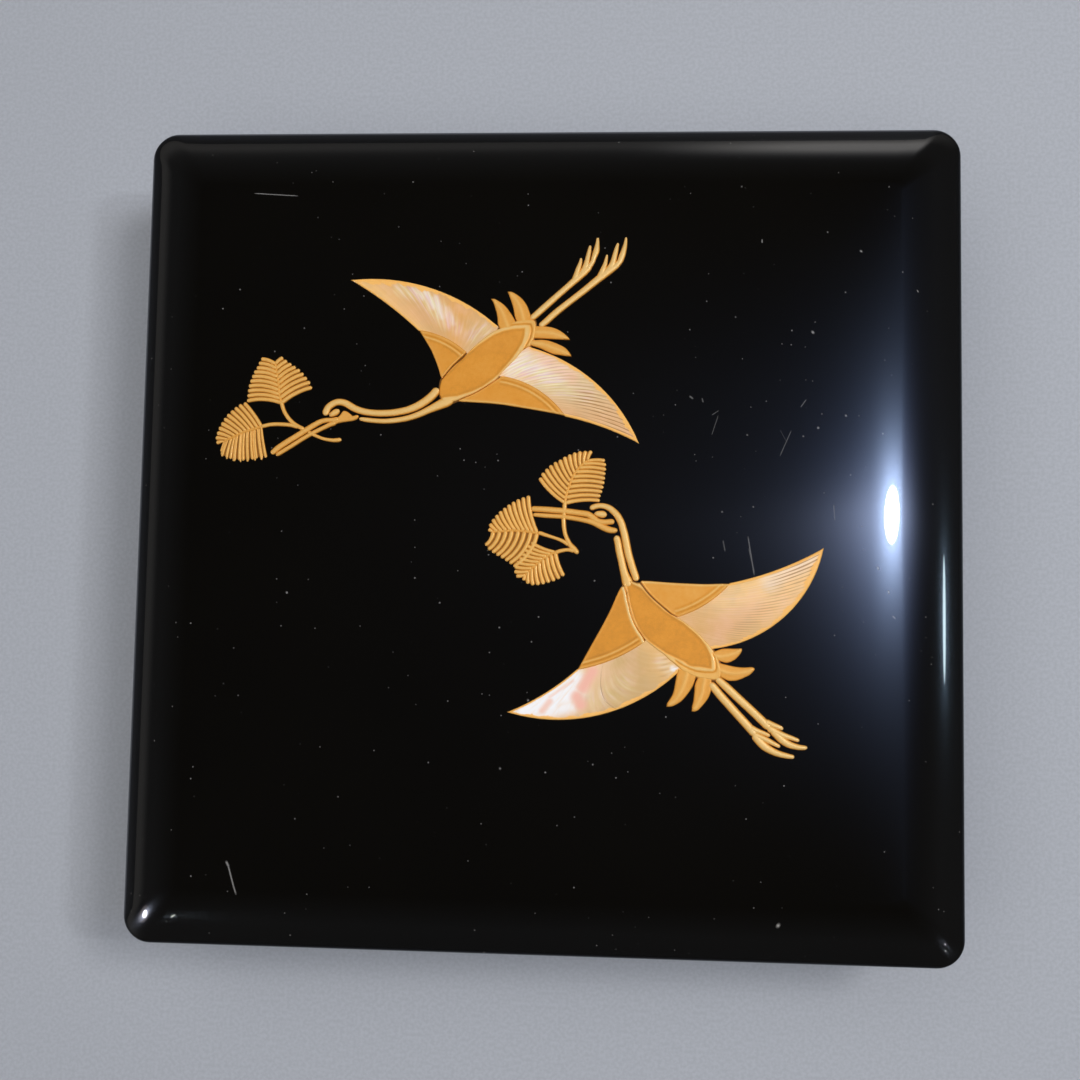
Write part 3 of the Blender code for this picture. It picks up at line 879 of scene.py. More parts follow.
NECKS = {
    "upper_crane": (
        (
            (-61.97, 32.22, 1.12), (-61.82, 33.37, 1.09), (-61.22, 34.63, 1.04), (-60.21, 35.48, 1.02),
            (-58.96, 36.08, 0.99), (-57.7, 36.18, 0.99), (-56.25, 35.83, 1.02), (-54.94, 35.13, 1.04),
            (-53.64, 34.38, 1.04), (-52.03, 33.77, 1.02), (-50.32, 33.37, 0.99), (-48.31, 33.12, 0.99),
            (-45.3, 33.02, 1.02), (-42.09, 33.27, 1.04), (-38.57, 33.98, 1.09), (-35.56, 35.18, 1.17),
            (-33.05, 36.79, 1.22), (-31.24, 38.39, 1.24), (-29.73, 40.3, 1.17),
        ),
        (
            (-52.23, 31.51, 0.42), (-50.82, 31.21, 0.67), (-49.32, 31.01, 0.72), (-47.51, 30.86, 0.72),
            (-45.0, 30.76, 0.75), (-41.88, 31.01, 0.81), (-38.57, 31.61, 0.86), (-35.46, 32.62, 0.93),
            (-32.44, 34.03, 1.05), (-29.83, 35.28, 1.32), (-27.42, 36.39, 1.54), (-25.21, 37.29, 1.12),
        ),
    ),
    "lower_crane": (
        (
            (13.86, 6.35, 0.68), (14.56, 6.76, 0.82), (15.47, 7.11, 0.82), (16.67, 7.31, 0.8), (18.08, 7.16, 0.84),
            (19.39, 6.65, 0.91), (20.59, 5.7, 0.98), (21.6, 4.6, 1.03), (22.3, 3.44, 1.05), (22.85, 2.24, 1.07),
            (23.25, 0.83, 1.08), (23.65, -0.58, 1.12), (24.01, -2.28, 1.14), (24.36, -3.99, 1.14),
            (24.86, -6.3, 1.14), (25.51, -8.41, 1.12), (26.22, -10.57, 1.09), (26.87, -12.33, 1.05),
            (27.27, -13.68, 0.97),
        ),
        (
            (21.29, -0.98, 0.8), (21.49, -1.68, 1.0), (21.85, -2.99, 1.06), (22.25, -5.3, 1.07), (22.8, -7.51, 1.08),
            (23.3, -9.72, 1.12), (23.91, -11.93, 1.25), (24.61, -13.84, 1.6), (25.21, -15.24, 1.71),
        ),
    ),
}

BEAKS = {
    "upper_crane": (
        (
            (-77.54, 21.17, 0.75), (-76.64, 21.92, 0.85), (-75.43, 22.93, 0.9), (-73.47, 24.28, 0.9),
            (-71.11, 25.74, 0.9), (-68.7, 27.25, 0.9), (-66.39, 28.75, 0.88), (-64.89, 29.66, 0.86),
            (-63.38, 30.46, 0.82), (-61.97, 30.86, 0.76), (-60.77, 30.96, 0.72), (-59.36, 31.01, 0.78),
            (-58.06, 31.36, 0.85),
        ),
        (
            (-76.13, 20.77, 0.5), (-75.43, 21.12, 0.62), (-73.72, 22.17, 0.66), (-71.51, 23.53, 0.66),
            (-69.1, 25.09, 0.66), (-66.99, 26.39, 0.66), (-65.19, 27.4, 0.66), (-63.38, 28.3, 0.66),
            (-61.97, 29.0, 0.68), (-60.67, 29.61, 0.72), (-58.86, 30.31, 0.8),
        ),
    ),
    "lower_crane": (
        (
            (-2.71, 6.25, 0.8), (-2.01, 6.2, 0.86), (1.51, 6.05, 0.9), (5.78, 5.75, 0.92), (8.34, 5.5, 0.92),
            (11.15, 5.15, 0.92), (13.26, 4.85, 0.96), (14.66, 4.04, 0.95), (16.07, 3.04, 0.9), (17.78, 2.69, 0.85),
            (19.34, 2.79, 0.85), (20.84, 2.89, 0.85),
        ),
        (
            (-2.11, 4.55, 0.55), (-1.41, 4.55, 0.62), (1.51, 4.34, 0.7), (5.78, 4.14, 0.7), (7.94, 3.89, 0.74),
            (10.09, 3.59, 0.76), (12.66, 3.14, 0.8), (14.87, 2.59, 0.9), (16.57, 1.83, 0.98), (18.08, 1.08, 1.0),
            (19.39, 0.58, 0.98), (20.59, 0.43, 0.85), (21.75, 0.43, 0.6),
        ),
    ),
}

# The cheek behind the eye: its upper and its lower line
CHEEK_UPPER = (
    (-59.96, 31.36), (-58.61, 31.77), (-57.89, 32.32), (-57.35, 33.07), (-56.95, 33.62), (-56.3, 33.67),
    (-55.34, 33.22), (-54.54, 32.62), (-54.14, 32.22), (-53.54, 32.37), (-52.73, 32.52), (-52.33, 32.17),
)

CHEEK_LOWER = (
    (-60.67, 28.85), (-59.43, 29.46), (-58.16, 30.06), (-57.25, 30.26), (-55.61, 30.53), (-54.17, 30.72),
    (-52.83, 31.26), (-52.28, 32.02),
)

# Eyes: x, y, half width along the almond
EYES = {
    "upper_crane": (
        (-60.92, 32.12, 0.29), (-60.37, 32.42, 0.69), (-59.56, 32.92, 0.98), (-58.76, 33.37, 0.98),
        (-57.95, 33.92, 0.57),
    ),
    "lower_crane": (
        (15.07, 5.1, 0.34), (15.77, 5.05, 0.75), (16.77, 4.95, 1.03), (17.78, 4.85, 1.06), (18.73, 4.85, 0.69),
    ),
}

TWIGS = {
    "upper": (
        (
            (-75.03, 36.49, 0.6), (-74.83, 35.58, 0.64), (-74.03, 33.42, 0.62), (-72.77, 31.51, 0.62),
            (-71.31, 30.06, 0.62), (-69.71, 29.05, 0.62), (-68.0, 28.25, 0.6),
        ),
        (
            (-80.86, 29.05, 0.55), (-80.05, 29.2, 0.6), (-77.79, 29.66, 0.6), (-74.88, 29.71, 0.6),
            (-71.92, 29.46, 0.6), (-69.81, 28.85, 0.55),
        ),
        (
            (-66.99, 27.65, 0.5), (-65.89, 27.04, 0.55), (-64.58, 26.44, 0.5), (-62.37, 25.59, 0.5),
            (-59.86, 25.19, 0.56), (-58.26, 25.24, 0.66), (-57.15, 25.44, 0.6),
        ),
    ),
    "lower": (
        (
            (6.93, 8.36, 0.62), (6.78, 7.26, 0.66), (6.73, 5.55, 0.66), (6.56, 3.54, 0.66), (6.69, 1.43, 0.66),
            (7.03, -0.58, 0.64), (7.68, -2.28, 0.68), (8.5, -3.79, 0.78), (9.49, -4.8, 0.85), (10.25, -5.6, 0.75),
            (10.8, -6.3, 0.55),
        ),
        (
            (-0.7, -0.58, 0.6), (0.1, -0.63, 0.62), (1.61, -1.13, 0.58), (3.31, -1.63, 0.5), (5.02, -2.18, 0.5),
            (6.83, -2.99, 0.58), (8.14, -3.89, 0.6),
        ),
        (
            (4.22, -5.9, 0.6), (4.82, -5.85, 0.62), (5.93, -5.5, 0.6), (7.63, -5.2, 0.55), (8.94, -5.3, 0.65),
            (9.84, -5.6, 0.7),
        ),
    ),
}

# Pine fans: the spine from the twig outwards, then for each side the tips from the twig outwards, their number and how
# far the needles bow to their left, as a share of their length
FANS = {
    "upper": (
        {
            "spine": (
                (-74.83, 35.58), (-75.63, 38.19), (-75.93, 40.65), (-76.24, 43.01), (-76.69, 45.22), (-77.14, 47.53),
            ),
            "sides": (
                {
                    "tips": (
                        (-85.28, 36.49), (-85.22, 37.84), (-85.12, 39.2), (-84.92, 40.6), (-84.57, 41.96),
                        (-84.07, 43.37), (-83.52, 44.72), (-82.66, 46.13), (-82.16, 47.38), (-81.46, 48.69),
                    ),
                    "count": 10, "bow": -0.075,
                },
                {
                    "tips": (
                        (-66.09, 40.45), (-66.69, 41.96), (-67.75, 43.27), (-68.7, 44.42), (-69.81, 45.48),
                        (-71.21, 46.43), (-72.52, 47.33), (-73.77, 48.19), (-74.88, 49.09),
                    ),
                    "count": 9, "bow": 0.06,
                },
            ),
        },
        {
            "spine": (
                (-80.35, 29.25), (-82.61, 28.4), (-85.02, 27.8), (-86.98, 27.04), (-88.89, 26.09), (-90.55, 25.34),
                (-91.9, 24.73),
            ),
            "sides": (
                {
                    "tips": (
                        (-86.08, 36.03), (-87.64, 35.43), (-89.09, 34.38), (-90.45, 33.17), (-91.55, 32.02),
                        (-92.36, 30.76), (-93.16, 29.46), (-93.71, 28.1), (-94.11, 26.69), (-94.31, 25.34),
                        (-94.01, 24.38),
                    ),
                    "count": 11, "bow": -0.03,
                },
                {
                    "tips": (
                        (-78.95, 20.01), (-80.4, 19.61), (-82.31, 19.36), (-83.77, 19.21), (-85.33, 18.81),
                        (-86.68, 19.01), (-88.14, 19.01), (-89.59, 19.46), (-90.85, 19.91), (-92.21, 20.57),
                        (-92.61, 21.82),
                    ),
                    "count": 19, "bow": -0.02, "uneven": 0.42, "ragged": 0.035,
                },
            ),
        },
    ),
    "lower": (
        {
            "spine": (
                (6.78, 7.56), (7.21, 10.37), (7.88, 12.58), (8.84, 15.16), (10.2, 17.45), (11.72, 19.01),
                (13.36, 20.21),
            ),
            "sides": (
                {
                    "tips": (
                        (-0.45, 15.04), (0.3, 16.5), (1.41, 17.7), (2.61, 18.76), (3.67, 19.51), (5.02, 20.16),
                        (6.28, 21.02), (7.53, 21.62), (8.84, 22.17), (10.25, 22.63), (11.95, 22.78), (14.06, 22.83),
                    ),
                    "count": 12, "bow": 0.05,
                },
                {
                    "tips": (
                        (16.72, 8.76), (16.87, 9.87), (17.28, 11.07), (17.68, 12.38), (17.93, 13.69), (18.08, 15.04),
                        (18.18, 16.3), (18.33, 17.45), (18.33, 18.71), (17.98, 20.01),
                    ),
                    "count": 10, "bow": 0.05,
                },
            ),
        },
        {
            "spine": ((-0.4, -0.68), (-2.91, -0.28), (-5.15, -0.07), (-7.98, 0.03), (-10.8, -0.23), (-13.56, -0.38)),
            "sides": (
                {
                    "tips": (
                        (-3.52, 10.02), (-5.17, 9.47), (-6.63, 8.86), (-7.93, 8.11), (-9.24, 7.26), (-10.45, 6.3),
                        (-11.65, 5.3), (-12.61, 4.24), (-13.51, 3.14), (-14.26, 1.83), (-14.56, 0.43),
                    ),
                    "count": 11, "bow": 0.05,
                },
                {
                    "tips": (
                        (-7.33, -10.22), (-8.44, -9.32), (-9.74, -8.51), (-10.75, -7.81), (-12.15, -7.11),
                        (-13.46, -6.25), (-14.66, -5.4), (-15.37, -4.29),
                    ),
                    "count": 8, "bow": 0.11,
                },
            ),
        },
        {
            "spine": ((4.65, -5.75), (2.28, -6.9), (0.6, -8.06), (-1.05, -9.52), (-2.71, -11.12), (-4.02, -12.63)),
            "sides": (
                {
                    "tips": (
                        (-2.51, -3.24), (-3.57, -4.29), (-4.42, -5.5), (-5.22, -6.8), (-5.93, -8.06), (-6.83, -9.32),
                        (-7.13, -10.52), (-7.08, -11.68), (-6.53, -12.73),
                    ),
                    "count": 9, "bow": 0.05,
                },
                {
                    "tips": (
                        (6.88, -12.63), (5.27, -13.68), (3.72, -14.29), (2.16, -14.74), (0.75, -15.14),
                        (-0.5, -15.34), (-1.91, -15.34), (-3.11, -14.94), (-4.32, -14.04),
                    ),
                    "count": 9, "bow": -0.05,
                },
            ),
        },
    ),
}

# The finish of each wing shell. rim and lead_rim give shares of the wing's width and how far the gold reaches in from
# the outer arc and from the leading edge; the marks are a line, how far round it they reach, and their strength.
# The glare, sheen and pink marks are painted reflections of the shell's shimmer, painted into its colour.
SHEEN = {
    "upper_crane_left": {
        "feathers": 18, "relief": 0.009,
        "rim": ((0.0, 0.25, 0.6, 1.0), (0.66, 1.02, 1.38, 1.8)),
        "lead_rim": ((0.0, 1.0), (0.3, 0.55)),
        "sheen": (
            ((-41.3, 69.2), (-34.3, 66.6), 3.2, 0.5), ((-34.3, 67.0), (-27.6, 60.0), 4.0, 0.62),
            ((-27.6, 61.5), (-24.5, 57.5), 3.0, 0.3), ((-20.5, 55.6), (-17.2, 57.6), 3.2, 0.34),
        ),
        "glare": (
            ((-37.6, 69.3), (-35.0, 66.6), 1.4, 0.22), ((-34.2, 68.2), (-31.6, 63.9), 1.4, 0.34),
            ((-31.2, 66.4), (-29.0, 61.0), 1.5, 0.36), ((-27.6, 63.4), (-25.8, 59.0), 1.2, 0.2),
        ),
        "painted_pink_sheen": (((-28.22, 62.9), (-27.22, 58.38), 2.2, 0.22), ((-42.29, 63.91), (-35.25, 60.39), 4.0, 0.12)),
    },
    "upper_crane_right": {
        "feathers": 21, "relief": 0.012,
        "rim": ((0.0, 0.3, 0.7, 1.0), (0.42, 0.84, 1.02, 1.44)),
        "lead_rim": ((0.0, 1.0), (0.5, 0.7)),
        "sheen": (((-8.14, 47.33), (3.92, 43.82), 6.2, 0.85), ((3.92, 41.31), (11.95, 38.8), 4.5, 0.35)),
        "glare": (((-9.44, 44.92), (-5.12, 49.54), 3.0, 0.25), ((-6.13, 46.33), (0.9, 48.54), 2.6, 0.2)),
        "painted_pink_sheen": (
            ((0.4, 48.84), (8.44, 43.52), 3.4, 0.42), ((-5.62, 44.22), (-2.11, 42.71), 2.0, 0.25),
            ((9.94, 40.81), (12.96, 39.3), 2.6, 0.15),
        ),
        "stroke": (((3.0, 46.5), (12.0, 40.5), 3.2, 0.35), ((11.95, 38.2), (23.5, 29.0), 5.0, 0.95)),
    },
    "lower_crane_right": {
        "feathers": 19, "relief": 0.01, "rim": ((0.0, 0.4, 1.0), (0.6, 1.02, 1.8)),
        "lead_rim": ((0.0, 1.0), (0.5, 0.7)),
        "sheen": (((52.13, -19.96), (64.18, -15.94), 6.0, 0.12),),
        "glare": (((64.0, -12.5), (75.2, -6.4), 4.5, 0.3),),
        "painted_pink_sheen": (((50.12, -26.99), (60.16, -19.96), 5.0, 0.18),),
        "stroke": (((55.0, -27.5), (70.0, -15.0), 3.6, 0.5), ((68.0, -13.0), (76.5, -7.0), 6.0, 0.95)),
    },
    "lower_crane_left": {
        "feathers": 22, "relief": 0.001,
        "rim": ((0.0, 0.35, 0.6, 1.0), (0.66, 1.14, 1.02, 0.72)),
        "lead_rim": ((0.0, 1.0), (0.25, 0.45)),
        "glare": (
            ((-3.11, -49.79), (8.94, -44.67), 7.0, 1.0), ((10.75, -41.06), (3.92, -48.59), 4.4, 1.0),
            ((2.0, -50.6), (9.6, -48.7), 3.0, 0.9), ((37.4, -37.7), (38.9, -38.3), 1.3, 0.85),
            ((34.4, -36.0), (37.1, -38.9), 2.6, 0.12),
        ),
        "painted_pink_sheen": (
            ((15.17, -39.05), (12.56, -43.67), 2.6, 0.85), ((11.15, -46.08), (12.15, -47.99), 2.8, 0.95),
            ((1.51, -50.09), (3.52, -47.48), 1.5, 0.5), ((9.94, -41.66), (3.42, -46.28), 0.7, 0.3),
        ),
        "sheen": (((16.97, -47.08), (24.01, -42.06), 5.0, 0.18), ((34.05, -36.03), (38.07, -38.04), 3.4, 0.2)),
        "stroke": (((12.0, -51.8), (24.0, -48.6), 1.6, 0.22), ((35.6, -35.2), (34.8, -39.6), 1.8, 0.3)),
    },
}

# Scratches and specks on the lid: from, to, width and strength
HAIRLINES = (
    ((-85.48, 98.11), (-72.72, 97.25), 0.2, 0.3), ((-86.5, -95.3), (-84.3, -103.5), 0.35, 0.3),
    ((-87.0, -94.4), (-86.4, -95.6), 0.5, 0.3), ((57.96, -0.88), (59.71, -11.42), 0.26, 0.17),
    ((58.26, -4.19), (59.76, -10.92), 0.3, 0.12), ((51.07, -2.08), (51.63, -4.9), 0.3, 0.1),
    ((81.61, 8.36), (81.91, 4.14), 0.25, 0.1), ((69.71, 28.95), (66.69, 21.92), 0.2, 0.12),
    ((68.6, 25.59), (66.69, 29.25), 0.15, 0.05), ((73.83, 37.79), (72.42, 35.78), 0.25, 0.13),
    ((49.42, 33.07), (47.71, 27.65), 0.18, 0.1), ((47.71, 33.27), (49.52, 34.48), 0.2, 0.1),
    ((41.48, 38.5), (42.29, 37.89), 0.35, 0.16), ((44.9, 37.89), (45.2, 36.89), 0.3, 0.12),
    ((67.2, -108.15), (67.5, -107.55), 0.7, 0.5), ((-2.61, -47.18), (-2.41, -47.48), 0.45, 0.22),
    ((-10.04, -66.17), (-9.94, -66.47), 0.45, 0.2), ((93.81, -8.71), (94.11, -9.32), 0.4, 0.3),
    ((96.83, -15.24), (97.03, -15.94), 0.4, 0.3), ((98.03, -22.17), (98.84, -22.88), 0.3, 0.22),
    ((50.62, 6.05), (50.82, 5.95), 0.4, 0.2), ((59.26, 7.56), (59.46, 7.46), 0.35, 0.2),
    ((84.87, 33.67), (85.07, 33.37), 0.4, 0.28), ((57.45, 27.75), (57.65, 27.65), 0.35, 0.2),
    ((73.02, 27.55), (73.22, 27.45), 0.35, 0.22), ((95.32, 28.85), (95.42, 28.55), 0.35, 0.25),
    ((55.79, 99.8), (55.79, 99.5), 0.3, 0.2), ((97.3, 99.6), (97.4, 99.4), 0.3, 0.2),
    ((79.8, 86.1), (80.0, 85.9), 0.3, 0.2), ((61.48, 83.7), (61.48, 82.8), 0.25, 0.3),
    ((89.1, 80.7), (89.5, 80.4), 0.4, 0.32), ((18.91, 71.2), (18.91, 71.0), 0.3, 0.26),
    ((84.85, 68.7), (84.85, 68.5), 0.3, 0.26), ((75.5, 57.2), (75.9, 56.8), 0.5, 0.34),
    ((54.09, 61.3), (54.09, 61.1), 0.3, 0.18), ((101.12, 75.0), (101.12, 74.8), 0.3, 0.22),
    ((45.96, 65.8), (45.96, 65.6), 0.3, 0.18), ((105.4, 70.0), (105.7, 69.5), 0.3, 0.26),
)

# Name, wing, the feather lines between which it lies, the CAD node it stands for, and its finish: name, the shell's
# colours at shares from the body to the tip, and how strongly its fine lines show
PALE_SHELL = (
    "pale shell",
    (
        (0.0, (0.88, 0.53, 0.2)), (0.25, (0.68, 0.43, 0.18)), (0.45, (0.7, 0.46, 0.2)), (0.7, (0.92, 0.62, 0.37)),
        (1.0, (0.95, 0.65, 0.3)),
    ),
    0.07,
)
SHELL_PIECES = (
    (
        "upper_crane_left_shell",
        "upper_crane_left",
        0.0,
        1.0,
        "upper_crane_left_wing_shell",
        (
            "cream shell",
            (
                (0.0, (0.74, 0.47, 0.22)), (0.3, (0.83, 0.42, 0.125)), (0.7, (0.76, 0.43, 0.17)),
                (1.0, (0.98, 0.58, 0.2)),
            ),
            0.1,
        ),
    ),
    (
        "upper_crane_right_shell",
        "upper_crane_right",
        0.0,
        1.0,
        "upper_crane_right_wing_shell",
        (
            "bright shell",
            (
                (0.0, (1.0, 0.6, 0.3)), (0.35, (0.88, 0.66, 0.35)), (0.65, (0.81, 0.54, 0.28)),
                (1.0, (0.8, 0.44, 0.19)),
            ),
            0.42,
        ),
    ),
    (
        "lower_crane_right_shell",
        "lower_crane_right",
        0.0,
        1.0,
        "lower_crane_right_wing_shell",
        (
            "pink shell",
            ((0.0, (0.76, 0.42, 0.14)), (0.3, (0.8, 0.47, 0.19)), (0.7, (0.98, 0.6, 0.27)), (1.0, (1.0, 0.63, 0.25))),
            0.22,
        ),
    ),
    ("lower_crane_left_shell_tip", "lower_crane_left", 0.6505, 1.0, "lower_crane_left_wing_shell_tip", PALE_SHELL),
    ("lower_crane_left_shell_root", "lower_crane_left", 0.0, 0.65, "lower_crane_left_wing_shell_root", PALE_SHELL),
)


# ---------------------------------------------------------------- the picture's pieces

def snapped(line, first, last):
    """The same line, its ends moved onto these two places."""
    rows = np.array(line, float)[:, :2].copy()
    share = np.linspace(0, 1, len(rows))[:, None]
    return rows + (1 - share) * (np.array(first) - rows[0]) + share * (np.array(last) - rows[-1])


def wing_lines(wing):
    """The outer arc, leading edge and band of a wing, from its table of sizes."""
    outer = np.array(arc(*wing["outer"], steps=60))
    lead = np.array(arc(*wing["lead"], steps=30))
    band = np.array(arc(*wing["band"], steps=30))
    return outer, lead, band


def feather_share(share, out, lean):
    """Where a feather line that leaves the band at this share of its width has got to, this far out."""
    return share if share in (0, 1) else (share + lean * out) / (1 + lean * out)


def shell_piece(name, key, low=0.0, high=1.0):
    """One inlaid wing shell, or the part of it between two of its feather lines."""
    wing = WINGS[key]
    glow = SHEEN[key]
    outer, lead, band = wing_lines(wing)
    lower, upper = lengthened(band, wing["band_reach"])[::-1], lengthened(outer, UNDER_BODY)[::-1]
    start = snapped(wing["body_side"], lower[0], upper[0])
    end = snapped(lead[::-1], lower[-1], upper[-1])
    height = bpy.context.scene.relief_sizes.shell / MM

    def shape(u, v):
        first, last = (feather_share(edge, v, wing["skew"]) for edge in (low, high))
        across = first + (last - first) * u
        x, y = patch(lower, upper, start, end, across, v)
        feather = across - wing["skew"] * v * (1 - across)
        from_outer, from_lead = distance(x, y, outer), distance(x, y, lead)
        gap = np.minimum(from_outer, from_lead)
        for near in (distance(x, y, band), distance(x, y, start)):
            gap = np.minimum(gap, near)
        lobes = 0.5 + 0.5 * np.cos(2 * np.pi * feather * glow["feathers"])
        ragged = 0.7 + 0.35 * np.sin(across * 41.0) * np.sin(across * 17.3 + 1.0) + 0.25 * (1 - lobes)
        thick = np.interp(across, *glow["rim"]) * ragged
        rim = 1 - eased(thick - 0.45, thick + 0.6, from_outer)
        edge = np.interp(across, *glow["lead_rim"])
        rim = np.maximum(rim, 1 - eased(edge - 0.3, edge + 0.3, from_lead))
        kept = {"across": across, "feather": feather, "out": v, "rim": rim, "run": feather * glow["feathers"]}
        # These marks go into the shell's colour: glare, sheen and pink sheen are painted reflection, stroke is dark
        # lines.
        for mark in ("glare", "sheen", "painted_pink_sheen", "stroke"):
            strength = np.zeros(x.shape)
            for start_at, end_at, wide, power in glow.get(mark, ()):
                near = distance(x, y, (start_at, end_at))
                strength = np.maximum(strength, power * (1 - eased(0.1 * wide, wide, near)))
            kept[mark] = strength
        lift = height * (0.04 + 0.96 * roll(gap, 0.3)) + 0.08 * rim * roll(gap, 0.3)
        lift += glow["relief"] * (lobes - 0.5) * eased(0.3, 1.0, gap)
        return x, y, lift, kept

    return raise_sheet(name, int(150 * (high - low)) + 10, 72, shape)


def wing_panel(name, key, side):
    """The gold panel between the neck and the band, with its band of two ridges."""
    wing = WINGS[key]
    _, _, band = wing_lines(wing)
    start = beside(lengthened(band, wing["band_reach"] - UNDER_BODY + 0.01), -0.3 * side)
    lower, upper = np.array(wing["panel_lead"], float), np.array(wing["panel_body"], float)
    corner = (lower[-1] + upper[-1]) / 2
    lower = snapped(smooth(lower), start[0], lower[-1])
    upper = snapped(smooth(upper), start[-1], upper[-1])
    end = np.array([lower[-1], corner, upper[-1]])
    inside = corner_of(lower, upper)
    ridge = wing["body_ridge"]
    # The ridges along the band, the body seam and the leading edge are paler: painted highlights.
    return plate(
        name, lower, upper, start, end, 90, 60,
        height=bpy.context.scene.relief_sizes.panel / MM, edge=0.4,
        ridges=((beside(band, 0.25 * side), 0.08, 0.42, 0.62), (beside(band, 1.5 * side), 0.10, 0.34, 0.76),
                (beside_inward(upper, ridge * 1.3, inside), 0.09, ridge, wing["seam_ridge"]),
                (beside_inward(lower, 0.35, inside), 0.03, 0.3, wing["lead_tone"]),
                *((mark, 0.0, 0.35, 0.6) for mark in wing.get("rubs", ()))),
        grooves=((beside(band, 0.9 * side), 0.07, 0.26, 0.15), (beside(band, 2.1 * side), 0.03, 0.34, 0.10)),
        flat=wing["panel_tone"],
    )


def corner_of(lower, upper):
    """A place between two lines."""
    return (np.mean(np.array(lower)[:, :2], axis=0) + np.mean(np.array(upper)[:, :2], axis=0)) / 2


def beside_inward(line, gap, inside):
    """The line moved by gap towards the side where inside lies."""
    rows = np.array(line, float)[:, :2]
    middle = rows[len(rows) // 2]
    one, other = beside(rows, gap), beside(rows, -gap)
    near = np.hypot(*(one[len(rows) // 2] - inside)) < np.hypot(*(other[len(rows) // 2] - inside))
    return one if near else other


def crane_body(name):
    """A crane's body on its brown ground."""
    lines = BODIES[name]
    upper, lower = smooth(lines["upper"]), smooth(lines["lower"])
    start, end = smooth(lines["neck_end"]), smooth(lines["tail_end"])
    body = plate(
        name, lower, upper, start, end, 150, 70,
        height=bpy.context.scene.relief_sizes.body / MM, edge=0.45, sunk=lines["panel"],
        grooves=((lines["groove"], 0.12, 0.26, 0.4),), flat=lines["tone"], rim_tone=0.86,
    )
    wide_lower, wide_upper = beside(lower, -BODY_GROUND), beside(upper, BODY_GROUND)
    ground = plate(
        f"{name}_ground", wide_lower, wide_upper, snapped(beside(start, BODY_GROUND), wide_lower[0], wide_upper[0]),
        snapped(beside(end, -BODY_GROUND), wide_lower[-1], wide_upper[-1]), 90, 16, height=0.1, edge=0.2, flat=0.06,
        shade_edge=False,
    )
    return joined(name, [body, ground])


def tail_feather(name, sides):
    one, other = smooth(sides[0]), smooth(sides[1])
    shares = np.linspace(0, 1, 30)
    middle = (along(one, shares) + along(other, shares))[:, :2] / 2
    # The ridge down the middle of each feather is paler: painted highlight.
    return plate(
        name, one, other, np.array([one[0], other[0]]), np.array([one[-1], other[-1]]), 44, 22,
        height=bpy.context.scene.relief_sizes.feather / MM, edge=0.45,
        ridges=((middle[:26], 0.09, 0.5, 0.74),), flat=0.58, open_sides=(2,),
    )


def needle_path(root, tip, bow, root_half, tip_half):
    """A needle's line from the spine to its tip: x, y and half width."""
    root, tip = np.array(root, float), np.array(tip, float)
    way = tip - root
    left = np.array((-way[1], way[0]))
    rows = []
    for share in (0, 0.25, 0.5, 0.75, 1.0):
        place = root + way * share + left * bow * 4 * share * (1 - share)
        rows.append((*place, root_half + (tip_half - root_half) * min(1.0, share * 1.35)))
    return rows


def room_between(places, ways, share, least, most):
    """For each needle, this share of its distance to the next ones, measured across it."""
    steps = np.gradient(places, axis=0)
    normals = np.stack([-ways[:, 1], ways[:, 0]], axis=1)
    return np.clip(share * np.abs((steps * normals).sum(axis=1)), least, most)


def fan_pieces(name, fan):
    """One pine fan: a brown ground, its needles and the spine over them."""
    pieces = []
    spine = smooth(fan["spine"])
    relief = bpy.context.scene.relief_sizes
    for side, needles in enumerate(fan["sides"]):
        count = needles["count"]
        uneven = needles.get("uneven", 0.0) * np.sin(np.arange(count) * 2.4) / count
        uneven[[0, -1]] = 0
        roots = along(spine, np.linspace(0.03, 0.97, count) + uneven * 0.5)[:, :2]
        tips = along(smooth(needles["tips"]), np.linspace(0.0, 1.0, count) + uneven)[:, :2]
        ragged = needles.get("ragged", 0.0) * np.sin(np.arange(count) * 3.7)[:, None]
        tips = tips + (tips - roots) * ragged
        ways = tips - roots
        ways /= np.hypot(*ways.T)[:, None]
        root_halves = room_between(roots, ways, 0.52, 0.26, 0.7)
        tip_halves = room_between(tips, ways, 0.45, 0.24, 0.62)
        for number in range(count):
            path = needle_path(roots[number], tips[number], needles["bow"], root_halves[number], tip_halves[number])
            # Each needle is paler along its top and darker at its edges: painted highlight and shade.
            pieces.append(strand(
                f"needle_{side}_{number}", path, height=relief.needle / MM, step=0.75, rows=8, ends=(1.0, 0.8),
                crest=0.77, foot=0.12,
            ))
        first = needle_path(roots[0], tips[0] * 0.96 + roots[0] * 0.04, needles["bow"], 1, 1)
        last = needle_path(roots[-1], tips[-1] * 0.9 + roots[-1] * 0.1, needles["bow"], 1, 1)
        outer = tips * 0.93 + roots * 0.07
        pieces.append(plate(
            f"ground_{side}", roots, outer, snapped(smooth(first), roots[0], outer[0]),
            snapped(smooth(last), roots[-1], outer[-1]), 24, 12, height=0.1, edge=0.3, flat=0.14, shade_edge=False,
        ))
    path = [(x, y, 0.5 - 0.14 * k / len(fan["spine"])) for k, (x, y) in enumerate(fan["spine"])]
    pieces.append(strand("spine", path, height=relief.needle / MM * 1.1, step=0.6, rows=8, crest=0.62, foot=0.3))
    return joined(name, pieces)


def strands(name, paths, height, crest=0.78, **more):
    lines = [strand(f"{name}_{k}", path, height=height, crest=crest, **more) for k, path in enumerate(paths)]
    return joined(name, lines)


# ---------------------------------------------------------------- finishes

